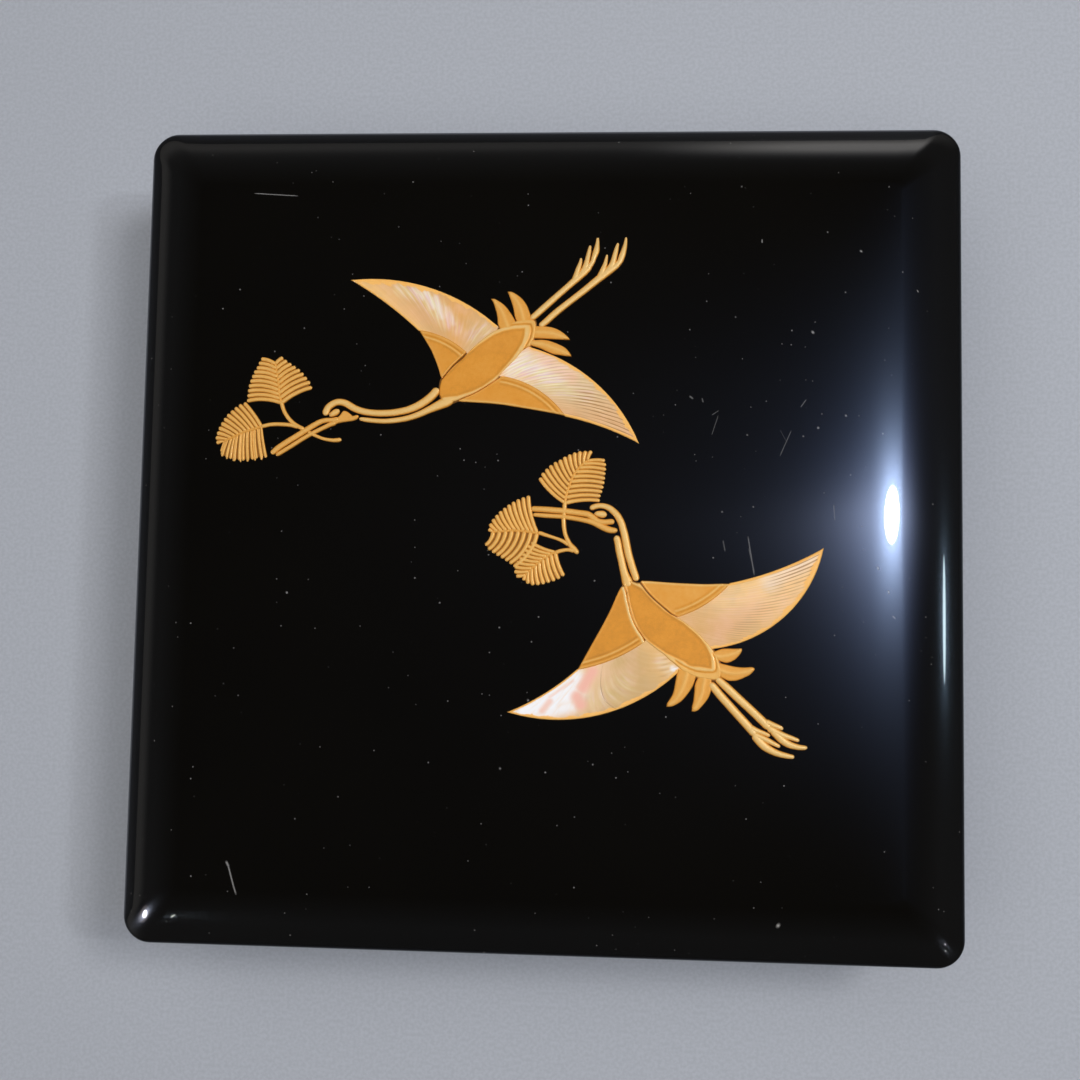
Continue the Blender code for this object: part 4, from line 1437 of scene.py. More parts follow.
def feed(tree, socket, value):
    """Links a socket to a socket, or sets its value."""
    if isinstance(value, bpy.types.NodeSocket):
        tree.links.new(value, socket)
    elif socket.type == "RGBA":
        socket.default_value = (*value[:3], 1)
    else:
        socket.default_value = value


def put(tree, kind, inputs=None, **settings):
    node = tree.nodes.new(kind)
    for key, value in settings.items():
        setattr(node, key, value)
    for key, value in (inputs or {}).items():
        feed(tree, node.inputs[key], value)
    return node


def sums(tree, operation, first, second=0.0, third=0.0, clamp=False):
    return put(tree, "ShaderNodeMath", {0: first, 1: second, 2: third}, operation=operation, use_clamp=clamp).outputs[0]


def vector_sums(tree, operation, first, second=(0, 0, 0), **more):
    node = put(tree, "ShaderNodeVectorMath", {0: first, 1: second, **more}, operation=operation)
    return node.outputs["Value"] if operation in ("LENGTH", "DOT_PRODUCT", "DISTANCE") else node.outputs["Vector"]


def ranged(tree, value, low, high, to_low=0.0, to_high=1.0):
    return put(
        tree, "ShaderNodeMapRange",
        {"Value": value, "From Min": low, "From Max": high, "To Min": to_low, "To Max": to_high},
        interpolation_type="SMOOTHSTEP",
    ).outputs["Result"]


def blend(tree, share, first, second, way="MIX"):
    node = put(tree, "ShaderNodeMix", data_type="RGBA", blend_type=way, clamp_factor=True)
    feed(tree, node.inputs[0], share)
    feed(tree, node.inputs[6], first)
    feed(tree, node.inputs[7], second)
    return node.outputs[2]


def ramp(tree, share, stops):
    node = put(tree, "ShaderNodeValToRGB", {"Fac": share})
    points = node.color_ramp.elements
    while len(points) < len(stops):
        points.new(1.0)
    for point, (place, shade) in zip(points, stops):
        point.position = place
        point.color = (*shade, 1)
    return node.outputs["Color"]


def kept_value(tree, name):
    return put(tree, "ShaderNodeAttribute", attribute_name=name).outputs["Fac"]


def object_place(tree):
    return put(tree, "ShaderNodeTexCoord").outputs["Object"]


def new_group(name, inputs, outputs):
    """A shader node group with these named sockets. Gives the group, its input node and its output node."""
    tree = bpy.data.node_groups.new(name, "ShaderNodeTree")
    for direction, sockets in (("INPUT", inputs), ("OUTPUT", outputs)):
        for socket_name, kind, default in sockets:
            socket = tree.interface.new_socket(socket_name, in_out=direction, socket_type=kind)
            if default is not None:
                socket.default_value = default
    return tree, tree.nodes.new("NodeGroupInput"), tree.nodes.new("NodeGroupOutput")


def effect(name, build):
    """The node group of this name, built the first time it is asked for."""
    return bpy.data.node_groups.get(name) or build(name)


def noise(tree, place, scale, detail, **more):
    """The value of a noise texture at this place."""
    return put(tree, "ShaderNodeTexNoise", {"Vector": place, "Scale": scale, "Detail": detail, **more}).outputs["Fac"]


def build_hairline(name):
    tree, given, result = new_group(
        name,
        (("Place", "NodeSocketVector", None), ("From", "NodeSocketVector", None), ("To", "NodeSocketVector", None),
         ("Width", "NodeSocketFloat", 0.0001)),
        (("Mask", "NodeSocketFloat", None),),
    )
    arm = vector_sums(tree, "SUBTRACT", given.outputs["Place"], given.outputs["From"])
    line = vector_sums(tree, "SUBTRACT", given.outputs["To"], given.outputs["From"])
    run = vector_sums(tree, "DOT_PRODUCT", arm, line)
    share = sums(tree, "DIVIDE", run, vector_sums(tree, "DOT_PRODUCT", line, line), clamp=True)
    foot = put(tree, "ShaderNodeVectorMath", {0: line, "Scale": share}, operation="SCALE").outputs["Vector"]
    flat = vector_sums(tree, "MULTIPLY", vector_sums(tree, "SUBTRACT", arm, foot), (1, 1, 0))
    gap = vector_sums(tree, "LENGTH", flat)
    ends = sums(tree, "MULTIPLY", ranged(tree, share, 0.0, 0.08), ranged(tree, share, 1.0, 0.9))
    inside = ranged(tree, gap, given.outputs["Width"], 0.0)
    mask = sums(tree, "MULTIPLY", inside, sums(tree, "MULTIPLY_ADD", ends, 0.6, 0.4))
    feed(tree, result.inputs["Mask"], mask)
    return tree


def build_dust(name):
    """Specks of dust scattered over a surface."""
    tree, given, result = new_group(
        name,
        (("Place", "NodeSocketVector", None), ("Spacing", "NodeSocketFloat", 0.01), ("Size", "NodeSocketFloat", 0.0002),
         ("Share", "NodeSocketFloat", 0.3)),
        (("Mask", "NodeSocketFloat", None),),
    )
    rate = sums(tree, "DIVIDE", 1.0, given.outputs["Spacing"])
    cells = put(
        tree, "ShaderNodeTexVoronoi", {"Vector": given.outputs["Place"], "Scale": rate, "Randomness": 1.0},
        voronoi_dimensions="3D", feature="F1",
    )
    split = put(tree, "ShaderNodeSeparateColor", {"Color": cells.outputs["Color"]})
    gap = sums(tree, "DIVIDE", cells.outputs["Distance"], rate)
    reach = sums(tree, "MULTIPLY", given.outputs["Size"], sums(tree, "MULTIPLY_ADD", split.outputs["Green"], 1.2, 0.4))
    chosen = sums(tree, "LESS_THAN", split.outputs["Red"], given.outputs["Share"])
    speck = ranged(tree, sums(tree, "DIVIDE", gap, reach), 1.0, 0.5)
    bright = sums(tree, "MULTIPLY_ADD", split.outputs["Blue"], 0.8, 0.2)
    feed(tree, result.inputs["Mask"], sums(tree, "MULTIPLY", sums(tree, "MULTIPLY", speck, chosen), bright))
    return tree


def build_gold(name):
    """Sprinkled gold: its colour from the tone of the work, with the fine grain of the powder."""
    tree, given, result = new_group(
        name,
        (("Place", "NodeSocketVector", None), ("Tone", "NodeSocketFloat", 0.5), ("Grain", "NodeSocketFloat", 1.0)),
        (("Colour", "NodeSocketColor", None), ("Height", "NodeSocketFloat", None)),
    )
    fine = noise(tree, given.outputs["Place"], 5200.0, 2.0)
    cloudy = noise(tree, given.outputs["Place"], 210.0, 3.0)
    rubbed = noise(tree, given.outputs["Place"], 900.0, 2.0)
    tone = given.outputs["Tone"]
    tone = sums(tree, "ADD", tone, sums(tree, "MULTIPLY", sums(tree, "SUBTRACT", fine, 0.5), 0.16))
    tone = sums(tree, "ADD", tone, sums(tree, "MULTIPLY", sums(tree, "SUBTRACT", cloudy, 0.5), 0.14))
    tone = sums(tree, "ADD", tone, sums(tree, "MULTIPLY", sums(tree, "SUBTRACT", rubbed, 0.5), 0.10), clamp=True)
    shades = bpy.context.scene.finish_colours
    colour_at = ramp(tree, tone, (
        (0.0, shades.gold_ground), (0.22, shades.gold_deep), (0.5, shades.gold), (0.78, shades.gold_light),
        (1.0, shades.gold_pale_highlight),
    ))
    feed(tree, result.inputs["Colour"], colour_at)
    feed(tree, result.inputs["Height"], sums(tree, "MULTIPLY", sums(tree, "ADD", fine, rubbed), given.outputs["Grain"]))
    return tree


def place_group(tree, group, inputs):
    node = tree.nodes.new("ShaderNodeGroup")
    node.node_tree = group
    for key, value in inputs.items():
        feed(tree, node.inputs[key], value)
    return node


def bump(tree, height, strength, reach):
    return put(tree, "ShaderNodeBump", {"Height": height, "Strength": strength, "Distance": reach}).outputs["Normal"]


def surface_of(name):
    """The material of this name, its nodes and its shader. The last two are None when it was there already."""
    material = bpy.data.materials.get(name)
    if material:
        return material, None, None
    material = bpy.data.materials.new(name)
    material.use_nodes = True
    return material, material.node_tree, material.node_tree.nodes["Principled BSDF"]


def gold_finish():
    material, tree, shader = surface_of("sprinkled gold")
    if tree is None:
        return material
    gold = place_group(tree, effect("sprinkled gold grain", build_gold), {
        "Place": object_place(tree), "Tone": kept_value(tree, "tone"), "Grain": 1.0,
    })
    feed(tree, shader.inputs["Base Color"], gold.outputs["Colour"])
    feed(tree, shader.inputs["Normal"], bump(tree, gold.outputs["Height"], 0.35, 0.00003))
    shader.inputs["Metallic"].default_value = 0.3
    shader.inputs["Roughness"].default_value = 0.42
    shader.inputs["Coat Weight"].default_value = 0.25
    shader.inputs["Coat Roughness"].default_value = 0.12
    return material


def shell_finish(name, shades, streaks):
    """Inlaid shell: fine lines along the feathers, painted rainbow sheen, glare and pink sheen in patches, and gold
    worked over its edges.
    """
    material, tree, shader = surface_of(name)
    if tree is None:
        return material
    place = object_place(tree)
    across, feather, out = (kept_value(tree, key) for key in ("across", "feather", "out"))
    ground = ramp(tree, across, shades)
    clouds = put(tree, "ShaderNodeTexNoise", {"Vector": place, "Scale": 170.0, "Detail": 3.0}).outputs["Fac"]
    ground = blend(tree, ranged(tree, clouds, 0.45, 0.75, 0.0, 0.3), ground, (0.95, 0.60, 0.42))
    ground = blend(tree, ranged(tree, clouds, 0.55, 0.3, 0.0, 0.3), ground, (0.62, 0.44, 0.25))

    def lines(count, drift, lift):
        at = put(tree, "ShaderNodeCombineXYZ", {
            "X": sums(tree, "MULTIPLY", feather, count), "Y": sums(tree, "MULTIPLY", out, drift), "Z": lift,
        }).outputs[0]
        return noise(tree, at, 1.0, 2.0, Roughness=0.6)

    fine, broad = lines(58.0, 2.2, 0.0), lines(24.0, 1.6, 3.0)
    ground = blend(tree, ranged(tree, fine, 0.52, 0.72, 0.0, streaks), ground, (1.0, 0.80, 0.50))
    ground = blend(tree, ranged(tree, fine, 0.48, 0.3, 0.0, streaks), ground, (0.55, 0.29, 0.12))
    wave = sums(tree, "ADD", kept_value(tree, "run"), sums(tree, "MULTIPLY", broad, 0.8))
    lobes = sums(tree, "MULTIPLY_ADD", sums(tree, "COSINE", sums(tree, "MULTIPLY", wave, 2 * math.pi)), 0.5, 0.5)

    # Painted reflection: the shell's rainbow sheen, painted into its colour in patches.
    rainbow = ramp(tree, sums(tree, "MULTIPLY_ADD", broad, 2.2, -0.6, clamp=True), (
        (0.0, (0.95, 0.58, 0.50)), (0.2, (0.98, 0.80, 0.50)), (0.38, (0.82, 0.84, 0.36)), (0.55, (0.98, 0.84, 0.70)),
        (0.75, (0.80, 0.58, 0.85)), (1.0, (0.98, 0.62, 0.66)),
    ))
    patches = kept_value(tree, "sheen")
    sheen = sums(tree, "MULTIPLY", patches, ranged(tree, fine, 0.35, 0.65, 0.25, 0.9))
    ground = blend(tree, sheen, ground, rainbow)
    # Painted highlight: pale streaks along the feathers, strongest in the sheen patches.
    shine = sums(tree, "MULTIPLY", sums(tree, "MULTIPLY_ADD", patches, 0.5, 0.02), ranged(tree, lobes, 0.55, 1.0))
    ground = blend(tree, shine, ground, (1.0, 0.93, 0.74))
    # Painted reflection: pink sheen in patches, and the white glare is weaker where it lies.
    painted_pink_sheen = sums(tree, "MULTIPLY", kept_value(tree, "painted_pink_sheen"), ranged(tree, clouds, 0.2, 0.6, 0.7, 1.0))
    # Painted reflection: white glare in patches.
    glare = kept_value(tree, "glare")
    glare = sums(tree, "MULTIPLY", glare, ranged(tree, sums(tree, "ADD", fine, broad), 0.76, 1.04, 0.72, 1.0))
    glare = sums(tree, "MULTIPLY", glare, sums(tree, "MULTIPLY_ADD", painted_pink_sheen, -0.85, 1.0))
    ground = blend(tree, glare, ground, (1.0, 0.99, 1.0))
    ground = blend(tree, sums(tree, "MULTIPLY", painted_pink_sheen, 0.9), ground, (0.98, 0.48, 0.40))

    stroke = sums(tree, "MULTIPLY_ADD", kept_value(tree, "stroke"), 0.8, 0.2 * streaks)
    stroke = sums(tree, "MULTIPLY", stroke, ranged(tree, lobes, 0.35, 0.05))
    ground = blend(tree, stroke, ground, (0.42, 0.20, 0.06))
    rim = kept_value(tree, "rim")
    speckle = put(tree, "ShaderNodeTexNoise", {"Vector": place, "Scale": 1500.0, "Detail": 3.0}).outputs["Fac"]
    cover = sums(tree, "ADD", rim, sums(tree, "MULTIPLY", sums(tree, "SUBTRACT", speckle, 0.5), 0.8))
    cover = sums(tree, "MULTIPLY", ranged(tree, cover, 0.15, 0.75), ranged(tree, rim, 0.02, 0.3))
    gold = place_group(tree, effect("sprinkled gold grain", build_gold), {"Place": place, "Tone": 0.7, "Grain": 1.0})
    feed(tree, shader.inputs["Base Color"], blend(tree, cover, ground, gold.outputs["Colour"]))
    feed(tree, shader.inputs["Roughness"], ranged(tree, cover, 0.0, 1.0, 0.22, 0.42))
    feed(tree, shader.inputs["Normal"], bump(tree, sums(tree, "ADD", sums(tree, "MULTIPLY", fine, 0.8), cover), 0.3, 0.00005))
    shader.inputs["Coat Weight"].default_value = 0.5
    shader.inputs["Coat Roughness"].default_value = 0.08
    return material


def lacquer_finish(name, worn=True):
    """Polished black lacquer, with dust and a few hairline scratches where it is worn."""
    material, tree, shader = surface_of(name)
    if tree is None:
        return material
    place = object_place(tree)
    shades = bpy.context.scene.finish_colours
    cloudy = put(tree, "ShaderNodeTexNoise", {"Vector": place, "Scale": 14.0, "Detail": 3.0}).outputs["Fac"]
    under = blend(tree, cloudy, shades.lacquer, tuple(1.7 * part for part in shades.lacquer))
    dust = effect("dust", build_dust)
    small = place_group(tree, dust, {"Place": place, "Spacing": 0.0034, "Size": 0.0002, "Share": 0.8}).outputs["Mask"]
    large = place_group(tree, dust, {"Place": place, "Spacing": 0.015, "Size": 0.0003, "Share": 0.6}).outputs["Mask"]
    specks = sums(tree, "MAXIMUM", sums(tree, "MULTIPLY", small, 0.27), sums(tree, "MULTIPLY", large, 0.45))
    if worn:
        line = effect("hairline", build_hairline)
        for first, last, width, strength in HAIRLINES:
            mask = place_group(tree, line, {
                "Place": place, "Width": width * MM,
                "From": (first[0] * MM, first[1] * MM, 0.0), "To": (last[0] * MM, last[1] * MM, 0.0),
            }).outputs["Mask"]
            specks = sums(tree, "MAXIMUM", specks, sums(tree, "MULTIPLY", mask, strength))
    feed(tree, shader.inputs["Base Color"], blend(tree, specks, under, (0.75, 0.72, 0.68)))
    feed(tree, shader.inputs["Roughness"], sums(tree, "MULTIPLY_ADD", specks, 0.4, shades.haze_roughness))
    dusty = sums(tree, "MULTIPLY", specks, 2.5, clamp=True)
    feed(tree, shader.inputs["Coat Weight"], sums(tree, "SUBTRACT", 1.0, dusty, clamp=True))
    ripple = noise(tree, place, 22.0, 1.0)
    feed(tree, shader.inputs["Coat Normal"], bump(tree, ripple, 0.06, 0.0002))
    shader.inputs["Specular Tint"].default_value = (0.52, 0.68, 1.0, 1)
    shader.inputs["Coat Roughness"].default_value = 0.02
    return material


def inside_finish():
    """The plainer lacquer of the inside and the underside."""
    material, tree, shader = surface_of("satin black lacquer")
    if tree is None:
        return material
    place = object_place(tree)
    cloudy = put(tree, "ShaderNodeTexNoise", {"Vector": place, "Scale": 30.0, "Detail": 4.0}).outputs["Fac"]
    fine = put(tree, "ShaderNodeTexNoise", {"Vector": place, "Scale": 1400.0, "Detail": 2.0}).outputs["Fac"]
    feed(tree, shader.inputs["Base Color"], blend(tree, cloudy, (0.006, 0.005, 0.0045), (0.012, 0.010, 0.009)))
    feed(tree, shader.inputs["Roughness"], ranged(tree, cloudy, 0.2, 0.8, 0.26, 0.38))
    feed(tree, shader.inputs["Normal"], bump(tree, fine, 0.12, 0.00005))
    shader.inputs["Coat Weight"].default_value = 0.3
    shader.inputs["Coat Roughness"].default_value = 0.15
    return material


def finish_insides(obj, is_inside):
    """Gives the faces for which is_inside holds the plainer lacquer."""
    obj.data.materials.append(inside_finish())
    for face in obj.data.polygons:
        if is_inside(face.center, face.normal):
            face.material_index = 1


def floor_finish():
    material, tree, shader = surface_of("pale floor")
    if tree is None:
        return material
    place = object_place(tree)
    shade = bpy.context.scene.stage_settings.floor_colour
    grain = noise(tree, place, 900.0, 2.0)
    darker, lighter = (tuple(share * part for part in shade) for share in (0.95, 1.05))
    even = blend(tree, ranged(tree, grain, 0.3, 0.7), darker, lighter)
    away = vector_sums(tree, "LENGTH", place)
    path = put(tree, "ShaderNodeLightPath").outputs
    # Painted shade in reflections: when seen in a mirror, the floor darkens from 0.3 m out.
    mirrored = sums(tree, "MULTIPLY", path["Is Glossy Ray"], ranged(tree, away, 0.3, 0.55, 0.0, 0.88))
    far = sums(tree, "MULTIPLY", path["Is Camera Ray"], ranged(tree, away, 0.4, 2.4))
    feed(tree, shader.inputs["Base Color"], blend(tree, sums(tree, "MAXIMUM", mirrored, far), even, (0, 0, 0)))
    shader.inputs["Emission Color"].default_value = (*bpy.context.scene.stage_settings.backdrop_colour, 1)
    feed(tree, shader.inputs["Emission Strength"], far)
    shader.inputs["Roughness"].default_value = 0.75
    return material


# ---------------------------------------------------------------- operators

def area_light(name, aim, way, away, size, radiance, tint, shape="RECTANGLE", glossy=True, diffuse=True):
    """A flat light this far from aim, in this direction, that shines this brightly on its whole face. Its size is that
    of its level side, then of its upright side."""
    light = bpy.data.lights.new(name, "AREA")
    light.shape = shape
    light.size, light.size_y = size
    face = size[0] * size[1] * (math.pi / 4 if shape in ("ELLIPSE", "DISK") else 1)
    light.energy = math.pi * face * radiance
    light.color = tint
    obj = bpy.data.objects.new(name, light)
    bpy.context.scene.collection.objects.link(obj)
    aim, way = Vector(aim), Vector(way).normalized()
    obj.location = aim + way * away
    side = Vector((0, 0, 1)).cross(way).normalized()
    obj.rotation_euler = Matrix((side, way.cross(side), way)).transposed().to_euler()
    obj.visible_glossy = glossy
    obj.visible_diffuse = diffuse
    return obj


def settle(obj, finish, slot, *replaced):
    """Gives a finished piece its material and its body, and hides the nodes that it stands for. slot is not used."""
    obj.data.materials.clear()
    obj.data.materials.append(finish)
    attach(obj, BODY)
    if replaced:
        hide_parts(*replaced)
    return obj


class LACQUERBOX_OT_lid(bpy.types.Operator):
    """Build the lid."""

    bl_idname = "lacquerbox.lid"
    bl_label = "Lid"
    bl_options = {"REGISTER", "UNDO"}

    def execute(self, context):
        sizes = context.scene.box_sizes
        obj = settle(make_lid(sizes), lacquer_finish("polished black lacquer"), "lacquer_lid", "lid")
        wall = sizes.half_side - sizes.lid_wall * 0.6
        finish_insides(obj, lambda at, out: (max(abs(at.x), abs(at.y)) < wall and out.z < -0.05) or (
            at.z < sizes.shoulder_start and max(abs(at.x), abs(at.y)) < wall))
        return {"FINISHED"}


class LACQUERBOX_OT_body(bpy.types.Operator):
    """Build the body under the lid."""

    bl_idname = "lacquerbox.body"
    bl_label = "Body"
    bl_options = {"REGISTER", "UNDO"}

    def execute(self, context):
        sizes = context.scene.box_sizes
        obj = settle(
            make_body(sizes), lacquer_finish("polished black lacquer base", worn=False), "lacquer_body", "box_body")
        wall = sizes.half_side - sizes.lid_wall
        finish_insides(obj, lambda at, out: max(abs(at.x), abs(at.y)) < wall or out.z < -0.9)
        return {"FINISHED"}


class LACQUERBOX_OT_shells(bpy.types.Operator):
    """Build the inlaid shell of the four wings."""

    bl_idname = "lacquerbox.shells"
    bl_label = "Wing shells"
    bl_options = {"REGISTER", "UNDO"}

    def execute(self, context):
        for name, key, low, high, node, finish in SHELL_PIECES:
            obj = shell_piece(name, key, low, high)
            settle(obj, shell_finish(*finish), "shell", node)
        return {"FINISHED"}


class LACQUERBOX_OT_wings(bpy.types.Operator):
    """Build the gold panels of the four wings."""

    bl_idname = "lacquerbox.wings"
    bl_label = "Gold wing panels"
    bl_options = {"REGISTER", "UNDO"}

    def execute(self, context):
        for key, wing in WINGS.items():
            settle(wing_panel(f"{key}_wing_gold", key, wing["band_side"]), gold_finish(), "gold")
        return {"FINISHED"}


class LACQUERBOX_OT_cranes(bpy.types.Operator):
    """Build the bodies, tails, legs, necks and heads of both cranes."""

    bl_idname = "lacquerbox.cranes"
    bl_label = "Cranes"
    bl_options = {"REGISTER", "UNDO"}

    def execute(self, context):
        relief = context.scene.relief_sizes
        for crane in ("upper_crane", "lower_crane"):
            settle(crane_body(f"{crane}_body"), gold_finish(), "gold")
            feathers = [tail_feather(f"{crane}_tail_{k}", sides) for k, sides in enumerate(TAILS[crane])]
            settle(joined(f"{crane}_tail", feathers), gold_finish(), "gold")
            # The crest tones below are painted highlights on the tops of the legs, necks, beaks and eye.
            settle(strands(f"{crane}_legs", LEGS[crane], relief.leg / MM, crest=0.9), gold_finish(), "gold")
            settle(strands(f"{crane}_neck", NECKS[crane], relief.neck / MM, crest=0.87), gold_finish(), "gold")
            settle(strands(f"{crane}_beak", BEAKS[crane], relief.neck / MM, crest=0.72), gold_finish(), "gold")
            settle(strands(f"{crane}_eye", [EYES[crane]], relief.neck / MM, crest=0.84, foot=0.1), gold_finish(), "gold")
        cheek_upper, cheek_lower = smooth(CHEEK_UPPER), smooth(CHEEK_LOWER)
        cheek = plate(
            "upper_crane_cheek", cheek_lower, cheek_upper, np.array([cheek_lower[0], cheek_upper[0]]),
            np.array([cheek_lower[-1], cheek_upper[-1]]), 40, 16, height=relief.feather / MM, edge=0.5, flat=0.62,
        )
        settle(cheek, gold_finish(), "gold")
        return {"FINISHED"}


class LACQUERBOX_OT_pines(bpy.types.Operator):
    """Build the pine sprays that the cranes carry."""

    bl_idname = "lacquerbox.pines"
    bl_label = "Pine sprays"
    bl_options = {"REGISTER", "UNDO"}

    def execute(self, context):
        relief = context.scene.relief_sizes
        for crane, fans in FANS.items():
            for number, fan in enumerate(fans, 1):
                settle(fan_pieces(f"{crane}_pine_fan_{number}", fan), gold_finish(), "gold")
            settle(strands(f"{crane}_pine_twigs", TWIGS[crane], relief.twig / MM, crest=0.75), gold_finish(), "gold")
        return {"FINISHED"}


class LACQUERBOX_OT_stage(bpy.types.Operator):
    """Build the floor, the lights and the camera."""

    bl_idname = "lacquerbox.stage"
    bl_label = "Stage"
    bl_options = {"REGISTER", "UNDO"}

    def execute(self, context):
        settings = context.scene.stage_settings
        bpy.ops.object.select_all(action="DESELECT")
        bpy.ops.mesh.primitive_circle_add(vertices=96, radius=12.0, fill_type="NGON", location=(0, 0, 0))
        floor = context.object
        floor.name = "floor"
        floor.data.materials.append(floor_finish())

        camera = bpy.data.cameras.new("camera")
        camera.lens = settings.lens
        camera.sensor_width = 36
        camera.clip_start = 0.01
        camera_object = bpy.data.objects.new("camera", camera)
        context.scene.collection.objects.link(camera_object)
        camera_object.location = settings.camera_place
        camera_object.rotation_euler = settings.camera_turn
        context.scene.camera = camera_object

        middle = (0, 0, 0.05)
        area_light("soft ceiling", middle, (-0.1, 0.04, 1.0), 1.5, (2.0, 2.0), 1.45, (1.0, 0.99, 0.98), glossy=False)
        area_light("key", middle, (0.5, 0.24, 1.0), 1.2, (0.22, 0.22), 28, (1.0, 0.98, 0.97), glossy=False)
        area_light(
            "lamp", (0.0979, 0.0059, 0.0640), (0.482, 0.092, 0.871), 1.2, (0.066, 0.088), 145, (0.94, 0.97, 1.0),
            "ELLIPSE")
        area_light(
            "edge strip", (0.1133, -0.0229, 0.0584), (0.976, 0.015, 0.217), 1.2, (0.15, 0.052), 15, (0.78, 0.95, 1.0),
            "ELLIPSE", diffuse=False,
        )
        for number, (at, way, across, bright, tint) in enumerate((
            ((-0.1119, -0.1108, 0.0585), (-0.786, -0.552, 0.280), (0.17, 0.075), 26, (1.0, 0.97, 0.98)),
            ((-0.1119, -0.1108, 0.0585), (-0.80, -0.54, 0.265), (0.34, 0.17), 0.9, (1.0, 0.84, 0.8)),
            ((-0.1049, -0.1106, 0.0600), (-0.329, -0.881, 0.348), (0.006, 0.05), 16, (0.95, 1.0, 0.9)),
            ((0.1152, -0.1139, 0.0562), (0.742, -0.604, 0.290), (0.05, 0.02), 14, (1.0, 0.97, 0.94)),
            ((0.1161, -0.1166, 0.0550), (0.667, -0.702, 0.249), (0.04, 0.02), 9, (1.0, 0.97, 0.94)),
        ), 1):
            area_light(f"corner lamp {number}", at, way, 1.0, across, bright, tint, "ELLIPSE", diffuse=False)

        world = bpy.data.worlds.new("studio")
        context.scene.world = world
        world.use_nodes = True
        tree = world.node_tree
        way = put(tree, "ShaderNodeTexCoord").outputs["Generated"]
        parts = put(tree, "ShaderNodeSeparateXYZ", {0: way}).outputs
        low = ranged(tree, parts["Z"], 0.19, 0.05)
        left = sums(tree, "MULTIPLY", low, ranged(tree, parts["X"], -0.5, -0.95, 0.0, 0.13))
        back = sums(tree, "MULTIPLY", low, ranged(tree, parts["Y"], 0.5, 0.95, 0.0, 0.1))
        height = sums(tree, "DIVIDE", sums(tree, "SUBTRACT", parts["Z"], BAND_HEIGHT), BAND_REACH)
        band = sums(tree, "EXPONENT", sums(tree, "MULTIPLY", sums(tree, "MULTIPLY", height, height), -1.0))
        band = sums(tree, "MULTIPLY", band, ranged(tree, parts["X"], 0.0, 0.155, 0.05, 1.0))
        band = sums(tree, "MULTIPLY", band, ranged(tree, parts["X"], 0.42, 0.2))
        band = sums(tree, "MULTIPLY", band, ranged(tree, parts["Y"], 0.5, 0.8, 0.0, 1.15))
        back = sums(tree, "ADD", back, band)
        sky = ramp(tree, parts["Z"], (
            (0.0, (0.03, 0.03, 0.03)), (0.3, (0.045, 0.045, 0.045)), (0.75, (0.012, 0.012, 0.012)),
        ))
        sky = blend(tree, 1.0, sky, blend(tree, sums(tree, "ADD", left, back), (0, 0, 0), (1.0, 0.93, 0.84)), "ADD")
        level, upright = (vector_sums(tree, "DOT_PRODUCT", way, line) for line in GLOW_LINES)
        level = sums(tree, "MULTIPLY_ADD", upright, -GLOW_LEAN, level)
        ahead, behind = (sums(tree, "DIVIDE", level, far) for far in (GLOW_REACH[0], -GLOW_REACH[1]))
        spread = sums(tree, "MAXIMUM", ahead, behind)
        reach = ranged(tree, upright, -0.001, 0.001, *GLOW_HEIGHT)
        fade = ranged(tree, upright, -0.12, 0.05, 0.26, 0.45)
        upright = sums(tree, "SQRT", sums(tree, "MULTIPLY_ADD", upright, upright, GLOW_SOFTNESS**2))
        upright = sums(tree, "DIVIDE", sums(tree, "SUBTRACT", upright, GLOW_SOFTNESS), reach)
        spread = sums(tree, "MULTIPLY_ADD", spread, spread, upright)
        glow = sums(tree, "EXPONENT", sums(tree, "MULTIPLY", spread, -1.0))
        glow = sums(tree, "ADD", glow, sums(tree, "MULTIPLY", sums(tree, "POWER", glow, fade), 0.09))
        facing = sums(tree, "GREATER_THAN", vector_sums(tree, "DOT_PRODUCT", way, (0.483, 0.093, 0.870)), 0.0)
        glow = sums(tree, "MULTIPLY", glow, facing)
        glow = put(tree, "ShaderNodeVectorMath", {0: GLOW_TINT, "Scale": glow}, operation="SCALE").outputs["Vector"]
        sky = blend(tree, 1.0, sky, glow, "ADD")
        seen = put(tree, "ShaderNodeLightPath").outputs["Is Camera Ray"]
        feed(tree, tree.nodes["Background"].inputs["Color"], blend(tree, seen, sky, settings.backdrop_colour))
        context.scene.view_settings.view_transform = "Standard"
        return {"FINISHED"}


class LACQUERBOX_PT_panel(bpy.types.Panel):
    """Lists the pieces of the box."""

    bl_idname = "LACQUERBOX_PT_panel"
    bl_label = "Lacquer Box"
    bl_space_type = "VIEW_3D"
    bl_region_type = "UI"
    bl_category = "Lacquer Box"

    def draw(self, context):
        for operator in OPERATORS:
            self.layout.operator(operator.bl_idname)


OPERATORS = (
    LACQUERBOX_OT_lid, LACQUERBOX_OT_body, LACQUERBOX_OT_shells, LACQUERBOX_OT_wings, LACQUERBOX_OT_cranes,
    LACQUERBOX_OT_pines, LACQUERBOX_OT_stage,
)
SETTINGS = {
    "box_sizes": BoxSizes, "relief_sizes": ReliefSizes,
    "finish_colours": FinishColours, "stage_settings": StageSettings,
}


def register():
    for cls in (*SETTINGS.values(), *OPERATORS, LACQUERBOX_PT_panel):
        bpy.utils.register_class(cls)
    for name, cls in SETTINGS.items():
        setattr(bpy.types.Scene, name, PointerProperty(type=cls))


def unregister():
    for name in SETTINGS:
        delattr(bpy.types.Scene, name)
    for cls in reversed((*SETTINGS.values(), *OPERATORS, LACQUERBOX_PT_panel)):
        bpy.utils.unregister_class(cls)


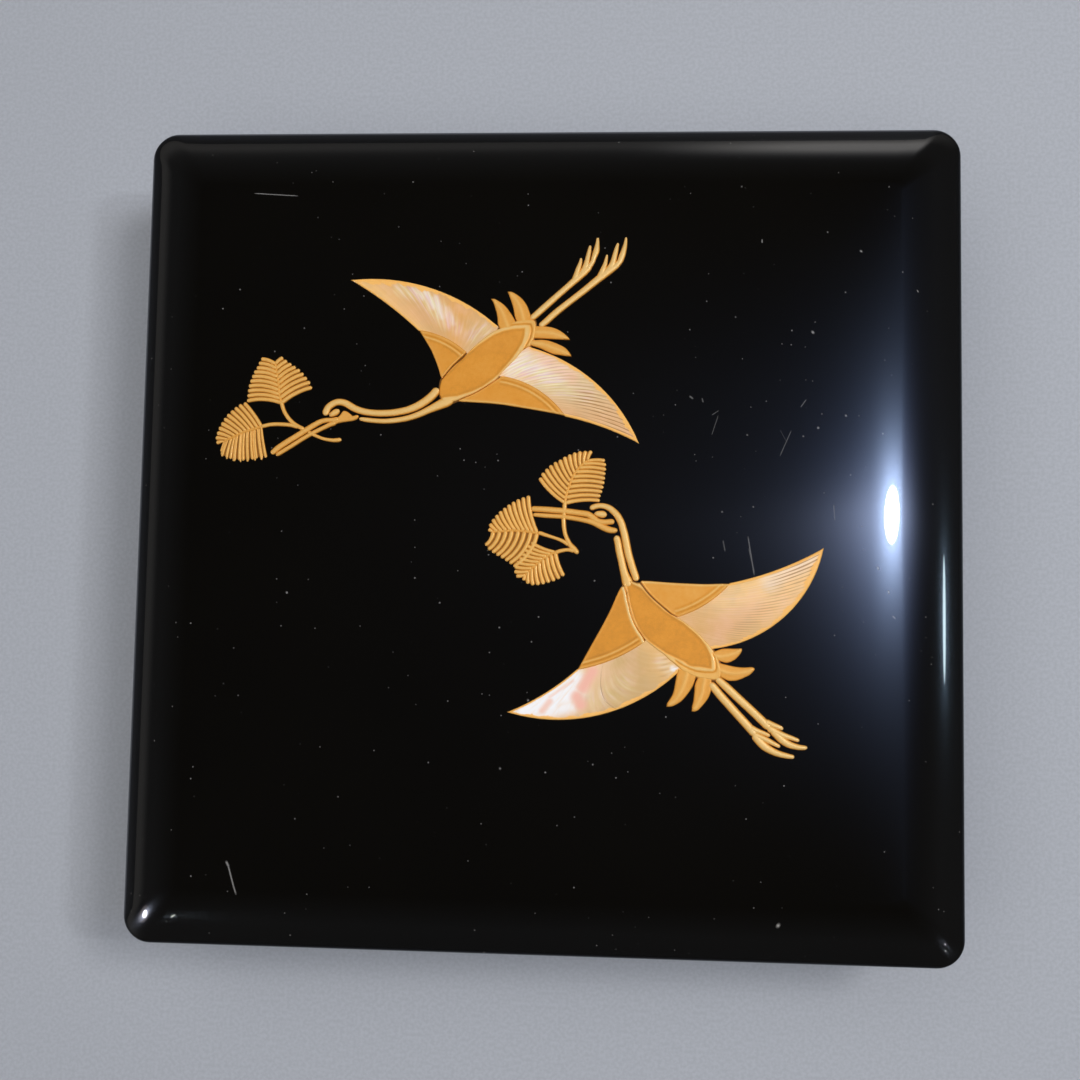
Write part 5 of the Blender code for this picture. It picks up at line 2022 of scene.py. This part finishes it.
def main():
    register()
    bpy.ops.lacquerbox.lid()
    bpy.ops.lacquerbox.body()
    bpy.ops.lacquerbox.shells()
    bpy.ops.lacquerbox.wings()
    bpy.ops.lacquerbox.cranes()
    bpy.ops.lacquerbox.pines()
    bpy.ops.lacquerbox.stage()


if __name__ == "__main__":
    main()
